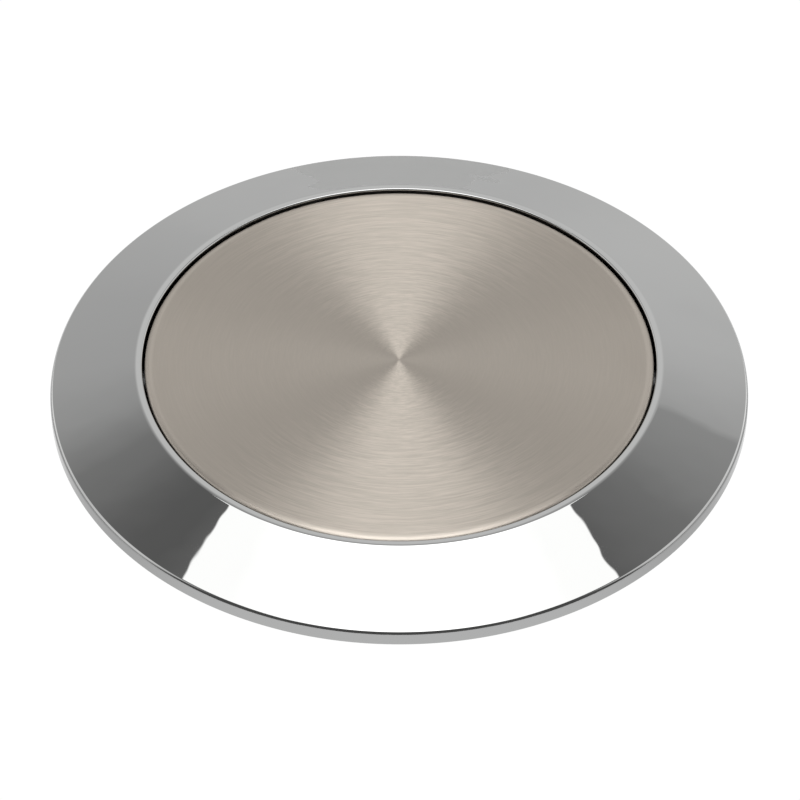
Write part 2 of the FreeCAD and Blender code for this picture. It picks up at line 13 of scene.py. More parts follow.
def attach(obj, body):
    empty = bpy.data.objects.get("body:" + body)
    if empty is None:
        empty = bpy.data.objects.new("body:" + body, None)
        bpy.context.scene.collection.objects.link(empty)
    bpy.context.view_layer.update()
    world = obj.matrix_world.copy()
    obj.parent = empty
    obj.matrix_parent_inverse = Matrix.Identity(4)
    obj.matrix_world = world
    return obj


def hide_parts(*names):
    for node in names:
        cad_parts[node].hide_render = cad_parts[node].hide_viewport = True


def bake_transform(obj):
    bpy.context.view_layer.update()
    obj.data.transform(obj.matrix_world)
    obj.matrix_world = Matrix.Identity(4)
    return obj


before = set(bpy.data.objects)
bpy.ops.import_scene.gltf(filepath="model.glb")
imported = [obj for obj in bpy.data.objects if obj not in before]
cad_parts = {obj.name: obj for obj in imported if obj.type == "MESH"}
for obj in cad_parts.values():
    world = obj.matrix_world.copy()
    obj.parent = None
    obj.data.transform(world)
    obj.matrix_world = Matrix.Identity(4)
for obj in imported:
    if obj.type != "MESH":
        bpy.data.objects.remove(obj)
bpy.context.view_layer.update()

MM = 0.001
MERGE_DISTANCE = 1e-6
PLACE_TOLERANCE = 2e-5
BEND_STEPS = 6

# in millimetres: how far a cutter or a block's root passes the face it meets, how deep a weld sinks,
# how deep a thin one does, and the play round a pin or a screw
BEYOND = 1.0
SINK = 0.2
SKIN = 0.05
GAP = 0.02

log = logging.getLogger("desk_grommet")

Colour = tuple[float, float, float]
Outline = Sequence[tuple[float, float]]


def opaque(colour: Colour) -> tuple[float, float, float, float]:
    """Give a colour its alpha channel."""
    return (*colour, 1.0)


class Wire:
    """One socket's value in a shader graph; arithmetic on it adds Math nodes."""

    def __init__(self, graph: "Graph", socket: bpy.types.NodeSocket) -> None:
        """Wrap an output socket of a graph's node."""
        self.graph = graph
        self.socket = socket

    def math(self, operation: str, *operands: "Wire | float") -> "Wire":
        """Add one Math node.

        Args:
            operation: Blender's name for the operation.
            operands: the node's values, in order.

        Returns:
            The node's result.
        """
        inputs = dict(enumerate(operands))
        return self.graph.node("ShaderNodeMath", {"operation": operation}, inputs)

    def __add__(self, other: "Wire | float") -> "Wire":
        """Add."""
        return self.math("ADD", self, other)

    __radd__ = __add__

    def __mul__(self, other: "Wire | float") -> "Wire":
        """Multiply."""
        return self.math("MULTIPLY", self, other)

    __rmul__ = __mul__

    def __sub__(self, other: "Wire | float") -> "Wire":
        """Subtract from this value."""
        return self.math("SUBTRACT", self, other)

    def __rsub__(self, other: "Wire | float") -> "Wire":
        """Subtract this value from another."""
        return self.math("SUBTRACT", other, self)

    def __truediv__(self, other: "Wire | float") -> "Wire":
        """Divide this value."""
        return self.math("DIVIDE", self, other)

    def __abs__(self) -> "Wire":
        """Drop the sign."""
        return self.math("ABSOLUTE", self)

    def root(self) -> "Wire":
        """Take the square root."""
        return self.math("SQRT", self)

    def above(self, limit: "Wire | float") -> "Wire":
        """Hold the value at or over a limit."""
        return self.math("MAXIMUM", self, limit)

    def rise(self, start: float, end: float) -> "Wire":
        """Turn the value into a smooth step.

        Args:
            start: where the step is still 0.
            end: where it has reached 1; below start for a falling step.

        Returns:
            The step's height at this value.
        """
        flip = end < start
        low, high = min(start, end), max(start, end)
        settings = {"interpolation_type": "SMOOTHSTEP"}
        step = self.graph.node("ShaderNodeMapRange", settings, {0: self, 1: low, 2: high, 3: 0.0, 4: 1.0})
        return 1.0 - step if flip else step


class Graph:
    """The node tree of one finish or of the surroundings."""

    def __init__(self, tree: bpy.types.NodeTree) -> None:
        """Start an empty tree."""
        self.tree = tree
        tree.nodes.clear()

    def node(
        self,
        kind: str,
        settings: dict | None = None,
        inputs: dict | None = None,
        output: int | str = 0,
    ) -> Wire:
        """Add any node.

        Args:
            kind: the node's Blender type.
            settings: its own properties, and a ramp's stops, set before its sockets.
            inputs: values or wires by socket name or number.
            output: which output to wrap.

        Returns:
            That output.
        """
        made = self.tree.nodes.new(kind)
        for name, setting in (settings or {}).items():
            if name == "stops":
                self.set_stops(made.color_ramp, setting)
            else:
                setattr(made, name, setting)
        for name, given in (inputs or {}).items():
            self.feed(made.inputs[name], given)
        return Wire(self, made.outputs[output] if made.outputs else None)

    @staticmethod
    def set_stops(ramp: bpy.types.ColorRamp, stops: Sequence[tuple[float, float]]) -> None:
        """Give a ramp grey stops, as (place, level) pairs."""
        while len(ramp.elements) < len(stops):
            ramp.elements.new(1.0)
        for element, (place, level) in zip(ramp.elements, stops):
            element.position = place
            element.color = (level, level, level, 1.0)

    def feed(self, socket: bpy.types.NodeSocket, given: "Wire | float | Sequence[float]") -> None:
        """Link a wire to a socket, or set its value."""
        if isinstance(given, Wire):
            self.tree.links.new(given.socket, socket)
        else:
            socket.default_value = given

    def place(self) -> Wire:
        """Give the place in the piece's own frame, in millimetres."""
        metres = self.node("ShaderNodeTexCoord", output="Object")
        return self.node("ShaderNodeVectorMath", {"operation": "SCALE"}, {0: metres, "Scale": 1.0 / MM})

    def split(self, vector: Wire) -> tuple[Wire, Wire, Wire]:
        """Split a vector into its three numbers."""
        parts = self.node("ShaderNodeSeparateXYZ", inputs={0: vector}).socket.node
        return tuple(Wire(self, part) for part in parts.outputs)

    def join(self, x: Wire | float, y: Wire | float, z: Wire | float) -> Wire:
        """Join three numbers into a vector."""
        return self.node("ShaderNodeCombineXYZ", inputs={0: x, 1: y, 2: z})

    def noise(self, place: Wire, scale: float, detail: float = 2.0, roughness: float = 0.5) -> Wire:
        """Give smooth noise from 0 to 1, about 0.5."""
        inputs = {"Vector": place, "Scale": scale, "Detail": detail, "Roughness": roughness}
        return self.node("ShaderNodeTexNoise", inputs=inputs)

    def blend(self, share: Wire | float, low: "Wire | Colour", high: "Wire | Colour") -> Wire:
        """Mix two colours by a share."""
        settings = {"data_type": "RGBA"}
        sockets = {0: share, 6: low if isinstance(low, Wire) else opaque(low)}
        sockets[7] = high if isinstance(high, Wire) else opaque(high)
        return self.node("ShaderNodeMix", settings, sockets, output=2)

    def bump(self, height: Wire, depth: float, under: Wire | None = None) -> Wire:
        """Turn a height into a normal.

        Args:
            height: relief from 0 to 1.
            depth: how high a relief of 1 stands, in metres.
            under: a normal that this relief lies on.

        Returns:
            The bent normal.
        """
        inputs = {"Height": height, "Distance": depth, "Strength": 1.0}
        if under is not None:
            inputs["Normal"] = under
        return self.node("ShaderNodeBump", inputs=inputs)


@dataclass(frozen=True)
class Finish:
    """A named surface finish; each kind paints its own detail."""

    name: str
    colour: Colour
    roughness: float

    def material(self) -> bpy.types.Material:
        """Give the finish's material, built on first use."""
        known = bpy.data.materials.get(self.name)
        if known is not None:
            return known
        made = bpy.data.materials.new(self.name)
        made.use_nodes = True
        graph = Graph(made.node_tree)
        surface = graph.node("ShaderNodeBsdfPrincipled", inputs=self.constants())
        shader = surface.socket.node
        for name, wire in self.varying(graph).items():
            graph.feed(shader.inputs[name], wire)
        graph.node("ShaderNodeOutputMaterial", inputs={"Surface": surface})
        made.diffuse_color = opaque(self.colour)
        return made

    def constants(self) -> dict:
        """Give the shader values that are the same all over."""
        return {"Base Color": opaque(self.colour), "Roughness": self.roughness}

    def varying(self, graph: Graph) -> dict[str, Wire]:
        """Give the shader inputs that change over the surface."""
        raise NotImplementedError


@dataclass(frozen=True)
class MirrorChrome(Finish):
    """Bright chrome on a polished casting: faint waves, fine turning lines on its upright edge, and painted
    shade that darkens that edge towards its sides.
    """

    swell: float = 0.034 * MM
    turning: float = 0.005 * MM
    edge_height: float = 1.9
    edge_radius: float = 47.6
    tarnish: float = 0.92
    edge_dull_and_shade_tone: float = 0.5

    def constants(self) -> dict:
        """Add metal to the shared values."""
        return {**super().constants(), "Metallic": 1.0}

    def varying(self, graph: Graph) -> dict[str, Wire]:
        """Paint polish waves, turning lines, a slight haze and the painted shade on the upright edge."""
        place = graph.place()
        x, y, z = graph.split(place)
        radius = (x * x + y * y).root()
        wall = radius.rise(self.edge_radius, self.edge_radius + 0.3)
        upright = wall * z.rise(self.edge_height + 0.1, self.edge_height)
        lines = graph.noise(graph.join(x * 0.03, y * 0.03, z), 9.0, 3.0, 0.7)
        waves = graph.bump(graph.noise(place, 0.16, 1.0), self.swell)
        normal = graph.bump(lines * upright, self.turning, waves)
        haze = graph.noise(place, 0.35, 4.0, 0.6)
        rough = self.roughness + haze.rise(0.45, 0.8) * 0.015 + upright * 0.12
        tone = graph.noise(place, 0.05, 2.0) * (1.0 - upright * 0.9)
        dull = tuple(self.tarnish * part for part in self.colour)
        polished = graph.blend(tone.rise(0.0, 0.5), dull, self.colour)
        # the upright edge is dulled slightly all round, as turned metal, and is painted darker towards its
        # sides along X, down to half, as painted shade
        turned = tuple(self.edge_dull_and_shade_tone * part for part in self.colour)
        edge = upright * (0.15 + abs(x / radius).rise(0.45, 1.0) * 0.85)
        return {"Base Color": graph.blend(edge, polished, turned), "Roughness": rough, "Normal": normal}


@dataclass(frozen=True)
class BrushedSteel(Finish):
    """Stainless sheet brushed in circles about its centre."""

    anisotropy: float = 0.97
    turn: float = 0.25
    relief: float = 0.0045 * MM
    rolled_from: float = 33.7

    def constants(self) -> dict:
        """Add metal and the brushing's one-way gloss."""
        brushed = {"Metallic": 1.0, "Anisotropic": self.anisotropy, "Anisotropic Rotation": self.turn}
        return {**super().constants(), **brushed}

    def varying(self, graph: Graph) -> dict[str, Wire]:
        """Paint concentric brush marks in relief, gloss and tone, with the tone's contrast painted stronger
        along ±Y, where the highlights fall.
        """
        x, y, z = graph.split(graph.place())
        radius = (x * x + y * y).root()
        safe = radius.above(0.05)
        east, north = x / safe, y / safe
        hairs = graph.noise(graph.join(radius * 6.5, east * 6.0, north * 6.0), 1.0, 2.0, 0.75)
        strokes = graph.noise(graph.join(radius * 3.6, east * 3.4, north * 3.4), 1.0, 3.0, 0.7)
        # painted highlight: the brush marks' colour contrast is strongest towards ±Y, in the wedges where
        # the bright reflections fall
        highlight_wedge_contrast = 0.25 + abs(north).rise(0.55, 0.95) * 0.75
        patches = graph.noise(graph.join(x, y, radius * 0.6), 0.09, 2.0)
        normal = graph.bump(hairs * 0.7 + strokes * 0.3, self.relief)
        grain = 0.5 + ((hairs * 0.45 + strokes * 0.55).rise(0.34, 0.68) - 0.5) * highlight_wedge_contrast
        dark = tuple(0.87 * part for part in self.colour)
        light = tuple(1.13 * part for part in self.colour)
        rolled = radius.rise(self.rolled_from, self.rolled_from + 0.5)
        rough = self.roughness + (strokes - 0.5) * 0.1 + (patches - 0.5) * 0.05 - rolled * 0.13
        return {"Base Color": graph.blend(grain, dark, light), "Roughness": rough, "Normal": normal}


@dataclass(frozen=True)
class Metal(Finish):
    """Ground, drawn, plated or blackened steel: streaks one way, with blotches of tone."""

    streak: tuple[float, float, float] = (1.0, 1.0, 1.0)
    streak_scale: float = 4.0
    relief: float = 0.004 * MM
    blotch_scale: float = 0.4
    blotch: float = 0.25

    def constants(self) -> dict:
        """Add metal to the shared values."""
        return {**super().constants(), "Metallic": 1.0}

    def varying(self, graph: Graph) -> dict[str, Wire]:
        """Paint the streaks and blotches."""
        x, y, z = graph.split(graph.place())
        along = graph.join(x * self.streak[0], y * self.streak[1], z * self.streak[2])
        streaks = graph.noise(along, self.streak_scale, 3.0, 0.65)
        blotches = graph.noise(graph.join(x, y, z), self.blotch_scale, 4.0, 0.6)
        dark = tuple((1.0 - self.blotch) * part for part in self.colour)
        tone = (blotches * 0.6 + streaks * 0.4).rise(0.3, 0.7)
        rough = self.roughness + (streaks - 0.5) * 0.2 + (blotches - 0.5) * 0.12
        normal = graph.bump(streaks, self.relief)
        return {"Base Color": graph.blend(tone, dark, self.colour), "Roughness": rough, "Normal": normal}


@dataclass(frozen=True)
class Moulded(Finish):
    """Moulded plastic or rubber: a fine spark-eroded grain, flow marks and rubbed high spots."""

    grain_scale: float = 5.0
    grain_depth: float = 0.012 * MM
    rubbed: float = 1.5
    speckle: float = 0.1

    def varying(self, graph: Graph) -> dict[str, Wire]:
        """Paint the grain, the flow marks and the rub."""
        place = graph.place()
        grain = graph.noise(place, self.grain_scale, 3.0, 0.6)
        flow = graph.noise(place, 0.12, 3.0, 0.55)
        rub = (grain * 0.5 + flow * 0.5).rise(0.42, 0.66)
        light = tuple(self.rubbed * part for part in self.colour)
        rough = self.roughness + (flow - 0.5) * self.speckle * 2.0 - rub * self.speckle
        return {
            "Base Color": graph.blend(rub, self.colour, light),
            "Roughness": rough,
            "Normal": graph.bump(grain, self.grain_depth),
        }


@dataclass(frozen=True)
class CellFoam(Finish):
    """Closed-cell foam: pits between thin cell walls."""

    cell_scale: float = 2.2
    pit_depth: float = 0.05 * MM

    def varying(self, graph: Graph) -> dict[str, Wire]:
        """Paint the cells, with painted shade in the pits and painted light on the walls."""
        place = graph.place()
        settings = {"feature": "DISTANCE_TO_EDGE"}
        inputs = {"Vector": place, "Scale": self.cell_scale}
        walls = graph.node("ShaderNodeTexVoronoi", settings, inputs, "Distance")
        pits = walls.rise(0.0, 0.25)
        fine = graph.noise(place, 6.0, 2.0)
        # painted shade and light: the pits keep the dark colour, and the cell walls are lit to 2.2 times it
        lit_wall_tone = tuple(2.2 * part for part in self.colour)
        rough = self.roughness - (1.0 - pits) * 0.12
        height = 1.0 - pits * 0.8 + fine * 0.15
        return {
            "Base Color": graph.blend(pits, lit_wall_tone, self.colour),
            "Roughness": rough,
            "Normal": graph.bump(height, self.pit_depth),
        }


CHROME = MirrorChrome("bright_chrome", (0.48, 0.483, 0.482), 0.012)
STEEL = BrushedSteel("circle_brushed_steel", (0.48, 0.437, 0.389), 0.42)
PLASTIC = Moulded("black_moulded_plastic", (0.018, 0.018, 0.019), 0.46)
ACETAL = Moulded("black_acetal", (0.02, 0.02, 0.021), 0.28, 3.0, 0.004 * MM, 1.25, 0.06)
RUBBER = Moulded("black_rubber", (0.022, 0.022, 0.022), 0.72, 7.0, 0.02 * MM, 1.9, 0.12)
FOAM = CellFoam("charcoal_foam", (0.035, 0.035, 0.036), 0.85)
GROUND = Metal("ground_steel", (0.55, 0.55, 0.555), 0.22, (1.0, 0.12, 0.12), 9.0, 0.003 * MM)
SPRING = Metal("drawn_spring_wire", (0.42, 0.41, 0.395), 0.3, (0.5, 0.5, 0.5), 8.0, 0.003 * MM)
ZINC = Metal("bright_zinc_plate", (0.6, 0.61, 0.63), 0.3, (0.35, 0.35, 1.0), 5.0, 0.006 * MM, 0.25, 0.3)
BLACK_STEEL = Metal(
    "oiled_black_steel", (0.06, 0.06, 0.066), 0.34, (1.0, 1.0, 0.3), 7.0, 0.004 * MM, 0.8, 0.35
)


class Blank:
    """One piece on the bench: a primitive that is shaped in edit mode, finished and then dressed."""

    def __init__(self, name: str) -> None:
        """Take the primitive that was just added, and keep it in edit mode.

        Args:
            name: the piece's name.
        """
        self.piece = bpy.context.object
        self.piece.name = name
        self.piece.data.name = name
        bpy.ops.object.mode_set(mode="EDIT")

    @staticmethod
    def clear() -> None:
        """Deselect everything, in object mode."""
        if bpy.context.object is not None and bpy.context.object.mode != "OBJECT":
            bpy.ops.object.mode_set(mode="OBJECT")
        bpy.ops.object.select_all(action="DESELECT")

    @classmethod
    def lathe(cls, name: str, outline: Outline, sides: int, closed: bool = True) -> "Blank":
        """Turn a half section about Z, ring by ring.

        Args:
            name: the piece's name.
            outline: radius and height of each corner, in millimetres; a solid's last corner is on the axis.
            sides: how many facets the turning has.
            closed: whether the section comes back to its first corner; if not, both its ends are capped.

        Returns:
            The turned blank, in edit mode.
        """
        cls.clear()
        radius, height = outline[0]
        where = (0.0, 0.0, height * MM)
        bpy.ops.mesh.primitive_circle_add(vertices=sides, radius=radius * MM, location=where)
        bpy.ops.object.transform_apply(location=True, rotation=True, scale=True)
        blank = cls(name)
        bpy.ops.mesh.select_all(action="SELECT")
        if not closed:
            blank.cap()
            blank.select_rings([outline[0]])
        corners = list(outline[1:]) + ([outline[0]] if closed else [])
        for next_radius, next_height in corners:
            move = (0.0, 0.0, (next_height - height) * MM)
            bpy.ops.mesh.extrude_edges_move(TRANSFORM_OT_translate={"value": move})
            grow = next_radius / radius
            bpy.ops.transform.resize(value=(grow, grow, 1.0), center_override=(0.0, 0.0, 0.0))
            radius, height = next_radius, next_height
        if not closed:
            blank.cap()
        blank.heal()
        return blank

    def cap(self) -> None:
        """Close the selected ring with a fan round a centre point."""
        bpy.ops.mesh.extrude_edges_move(TRANSFORM_OT_translate={"value": (0.0, 0.0, 0.0)})
        bpy.ops.mesh.merge(type="CENTER")

    def select(self, kind: str, test: Callable[[object], bool]) -> None:
        """Select the elements of one kind that pass a test.

        Args:
            kind: VERT, EDGE or FACE.
            test: says whether an element of the edit mesh is selected.
        """
        bpy.ops.mesh.select_all(action="DESELECT")
        bpy.ops.mesh.select_mode(type=kind)
        mesh = bmesh.from_edit_mesh(self.piece.data)
        for element in {"VERT": mesh.verts, "EDGE": mesh.edges, "FACE": mesh.faces}[kind]:
            if test(element):
                element.select = True
        mesh.select_flush_mode()
        bmesh.update_edit_mesh(self.piece.data)

    def select_rings(self, corners: Outline) -> None:
        """Select whole edge rings at given radii and heights, in millimetres."""
        rings = [Vector((radius, height)) * MM for radius, height in corners]

        def on_ring(edge: bmesh.types.BMEdge) -> bool:
            """Say whether both ends of an edge lie on one of the rings."""
            ends = [Vector((vert.co.xy.length, vert.co.z)) for vert in edge.verts]
            return any(all((end - ring).length < PLACE_TOLERANCE for end in ends) for ring in rings)

        self.select("EDGE", on_ring)

    def round_rings(self, corners: Outline, radius: float, segments: int = 2) -> None:
        """Round the edge rings at given radii and heights, all in millimetres."""
        self.select_rings(corners)
        bpy.ops.mesh.bevel(offset=radius * MM, segments=segments, profile=0.5, affect="EDGES")

    @classmethod
    def block(cls, name: str, low: Sequence[float], high: Sequence[float]) -> "Blank":
        """Start a block between two corners, in millimetres.

        Args:
            name: the piece's name.
            low: one corner.
            high: the opposite corner; either may be the larger along any axis.

        Returns:
            The block, in edit mode.
        """
        cls.clear()
        middle = [(a + b) / 2 * MM for a, b in zip(low, high)]
        bpy.ops.mesh.primitive_cube_add(size=1.0, location=middle)
        bpy.context.object.scale = [abs(b - a) * MM for a, b in zip(low, high)]
        bpy.ops.object.transform_apply(location=True, rotation=True, scale=True)
        return cls(name)

    @classmethod
    def helix(cls, name: str, section: Outline, turns: float, rise: float, steps: int) -> "Blank":
        """Wind a closed section about Z, starting over the X axis, and cap both its ends.

        Args:
            name: the piece's name.
            section: radius and height of each corner of the section, in millimetres.
            turns: how many turns; below 0 for a left-hand winding.
            rise: how far the section has moved along Z at the end, in millimetres.
            steps: facets in the whole winding.

        Returns:
            The wound blank, in edit mode.
        """
        cls.clear()
        bpy.ops.mesh.primitive_circle_add(vertices=len(section), radius=MM)
        blank = cls(name)
        mesh = bmesh.from_edit_mesh(blank.piece.data)
        mesh.verts.ensure_lookup_table()
        for vert, (radius, height) in zip(mesh.verts, section):
            vert.co = (radius * MM, 0.0, height * MM)
        bmesh.update_edit_mesh(blank.piece.data)
        settings = {"angle": math.tau * turns, "screw_offset": rise * MM, "use_smooth_shade": False}
        blank.apply("SCREW", axis="Z", steps=steps, render_steps=steps, **settings)
        blank.edit()
        bpy.ops.mesh.select_mode(type="EDGE")
        bpy.ops.mesh.select_all(action="DESELECT")
        bpy.ops.mesh.select_non_manifold()
        bpy.ops.mesh.fill_holes(sides=0)
        blank.heal()
        return blank

    def take(self) -> None:
        """Make this the active piece and the only selected one, in object mode."""
        self.clear()
        self.piece.select_set(True)
        bpy.context.view_layer.objects.active = self.piece

    def edit(self) -> "Blank":
        """Open the piece in edit mode with nothing else selected.

        Returns:
            This blank.
        """
        self.take()
        bpy.ops.object.mode_set(mode="EDIT")
        return self

    def turn(self, degrees: float, axis: str = "Z", move: Sequence[float] = (0.0, 0.0, 0.0)) -> "Blank":
        """Turn the piece about a frame axis, then move it.

        Args:
            degrees: by the right-hand rule.
            axis: X, Y or Z.
            move: the move that follows, in millimetres.

        Returns:
            This blank, in object mode.
        """
        self.take()
        turned = Matrix.Rotation(math.radians(degrees), 4, axis)
        self.piece.matrix_world = Matrix.Translation(Vector(move) * MM) @ turned
        bpy.ops.object.transform_apply(location=True, rotation=True, scale=True)
        return self

    def repeat_round(self, count: int) -> "Blank":
        """Copy the whole mesh round Z at equal steps.

        Args:
            count: how many there are in the end.

        Returns:
            This blank, in edit mode.
        """
        self.edit()
        bpy.ops.mesh.select_all(action="SELECT")
        for _ in range(count - 1):
            bpy.ops.mesh.duplicate()
            step = math.tau / count
            bpy.ops.transform.rotate(value=step, orient_axis="Z", center_override=(0.0, 0.0, 0.0))
        return self

    def combine(self, other: "Blank", operation: str) -> "Blank":
        """Cut another blank from this one, or weld it on, and use the other up.

        Args:
            other: the second blank.
            operation: DIFFERENCE, UNION or INTERSECT.

        Returns:
            This blank, in object mode.
        """
        self.apply("BOOLEAN", operation=operation, object=other.piece, solver="MANIFOLD")
        bpy.data.objects.remove(other.piece)
        return self

    def cut(self, *others: "Blank") -> "Blank":
        """Cut other blanks from this one."""
        for other in others:
            self.combine(other, "DIFFERENCE")
        return self

    def weld(self, *others: "Blank") -> "Blank":
        """Weld other blanks onto this one."""
        for other in others:
            self.combine(other, "UNION")
        return self

    def ease(self, width: float, segments: int = 2, angle: float = 40.0) -> "Blank":
        """Break every edge sharper than an angle.

        Args:
            width: the bevel's width, in millimetres.
            segments: its facets.
            angle: the smallest turn that is broken, in degrees.

        Returns:
            This blank, in object mode.
        """
        limit = math.radians(angle)
        self.apply("BEVEL", width=width * MM, segments=segments, limit_method="ANGLE", angle_limit=limit)
        return self

    def adopt(self, other: "Blank") -> "Blank":
        """Join another blank's mesh to this one as it is, and use the other up.

        Args:
            other: the second blank.

        Returns:
            This blank, in object mode.
        """
        self.take()
        other.piece.select_set(True)
        bpy.ops.object.join()
        return self

    def keep_sector(self, degrees: float) -> "Blank":
        """Cut a turned ring down to a sector centred on +Y, with closed ends.

        Args:
            degrees: the sector's whole angle, under 180.

        Returns:
            This blank, in object mode.
        """
        self.edit()
        half = math.radians(degrees / 2)
        for side in (1.0, -1.0):
            bpy.ops.mesh.select_all(action="SELECT")
            normal = (side * math.cos(half), -math.sin(half), 0.0)
            cut = {"plane_co": (0.0, 0.0, 0.0), "plane_no": normal, "use_fill": True, "clear_outer": True}
            bpy.ops.mesh.bisect(**cut)
        self.heal()
        self.clear()
        return self

    def narrow_end(self, reach: float, share: float) -> "Blank":
        """Narrow a block's far end along Y.

        Args:
            reach: how far out along X the end is, in millimetres.
            share: the width it keeps.

        Returns:
            This blank, in object mode.
        """
        self.edit()
        self.select("VERT", lambda vert: abs(vert.co.x - reach * MM) < PLACE_TOLERANCE)
        bpy.ops.transform.resize(value=(1.0, share, 1.0), center_override=(reach * MM, 0.0, 0.0))
        self.clear()
        return self

    def open_end(self, middle: Sequence[float], radius: float) -> None:
        """Select the flat end face of a wire.

        Args:
            middle: the end's centre, in millimetres.
            radius: how far from it the face's centre may be, in millimetres.
        """
        centre = Vector(middle) * MM
        self.edit()
        reach = radius * MM
        self.select("FACE", lambda face: all((vert.co - centre).length < reach for vert in face.verts))

    def draw_out(self, middle: Sequence[float], radius: float, move: Sequence[float]) -> None:
        """Draw a wire's end out straight.

        Args:
            middle: the end's centre, in millimetres.
            radius: a little over the wire's radius, in millimetres.
            move: how far it goes, in millimetres.
        """
        self.open_end(middle, radius)
        value = tuple(part * MM for part in move)
        bpy.ops.mesh.extrude_region_move(TRANSFORM_OT_translate={"value": value})
        self.clear()

    def bend_out(self, middle: Sequence[float], radius: float, bend: float, side: int) -> None:
        """Bend a wire's end from -Y round to the side.

        Args:
            middle: the end's centre, in millimetres.
            radius: a little over the wire's radius, in millimetres.
            bend: the bend's radius, in millimetres.
            side: 1 to bend towards +X, -1 towards -X.
        """
        pivot = Vector((middle[0] + side * bend, middle[1], middle[2])) * MM
        self.open_end(middle, radius)
        angle = -side * math.radians(90.0 / BEND_STEPS)
        for _ in range(BEND_STEPS):
            bpy.ops.mesh.extrude_region_move()
            bpy.ops.transform.rotate(value=angle, orient_axis="Z", center_override=pivot)
        self.clear()

    def heal(self) -> None:
        """Merge doubles and point every face outwards."""
        bpy.ops.mesh.select_all(action="SELECT")
        bpy.ops.mesh.remove_doubles(threshold=MERGE_DISTANCE)
        bpy.ops.mesh.normals_make_consistent(inside=False)

    def apply(self, kind: str, **settings: object) -> None:
        """Add a modifier and apply it, in object mode.

        Args:
            kind: the modifier's Blender type.
            settings: its properties.
        """
        self.take()
        modifier = self.piece.modifiers.new(kind.lower(), kind)
        for name, setting in settings.items():
            setattr(modifier, name, setting)
        bpy.ops.object.modifier_apply(modifier=modifier.name)

    def finish(self, finish: Finish, angle: float = 35.0) -> bpy.types.Object:
        """Smooth the piece and give it its material.

        Args:
            finish: the surface finish.
            angle: the sharpest turn between faces that still shades smooth, in degrees.

        Returns:
            The finished object.
        """
        self.take()
        bpy.ops.object.shade_smooth_by_angle(angle=math.radians(angle))
        self.apply("WEIGHTED_NORMAL", keep_sharp=True, weight=100)
        self.piece.data.materials.clear()
        self.piece.data.materials.append(finish.material())
        return self.piece


def fit(piece: bpy.types.Object, body: str, slot: str, *nodes: str) -> bpy.types.Object:
    """Put a finished piece in the frame.

    Args:
        piece: the finished object.
        body: the CAD body it moves with.
        slot: the record's material slot; not used.
        nodes: the CAD nodes it stands for.

    Returns:
        The same object.
    """
    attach(piece, body)
    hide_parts(*nodes)
    log.info("%s: %d faces on %s", piece.name, len(piece.data.polygons), body)
    return piece


class Side(Enum):
    """Which end of the pivot a piece belongs to."""

    RIGHT = 1
    LEFT = -1

    @property
    def label(self) -> str:
        """Give the side's name as piece names use it."""
        return self.name.lower()


def along_pivot(blank: Blank, side: Side, height: float) -> Blank:
    """Lay a blank made along Z on the lid's pivot, pointing away from the lid's centre.

    Args:
        blank: the piece.
        side: which way it points.
        height: the pivot's height above the desk, in millimetres.

    Returns:
        The same blank.
    """
    return blank.turn(90.0 * side.value, "Y", (0.0, 0.0, height))


def ring_section(inner: float, outer: float, low: float, high: float) -> Outline:
    """Give the four corners of a plain ring's section, in millimetres."""
    return [(inner, low), (outer, low), (outer, high), (inner, high)]


def rod(radius: float, low: float, high: float, sides: int) -> Blank:
    """Turn a plain rod about Z, in millimetres."""
    return Blank.lathe("rod", [(radius, low), (radius, high)], sides, closed=False)


def thread_turns(first: float, second: float, low: float, high: float, pitch: float) -> Outline:
    """Give the outline of whole thread turns, in millimetres.

    Args:
        first: the radius that each turn starts at.
        second: the radius half a turn on.
        low: where the first turn starts.
        high: what the last turn ends below.
        pitch: the height of one turn.

    Returns:
        Radius and height of each corner.
    """
    outline = []
    height = low
    while height + pitch < high:
        outline += [(first, height), (second, height + pitch / 2)]
        height += pitch
    return outline


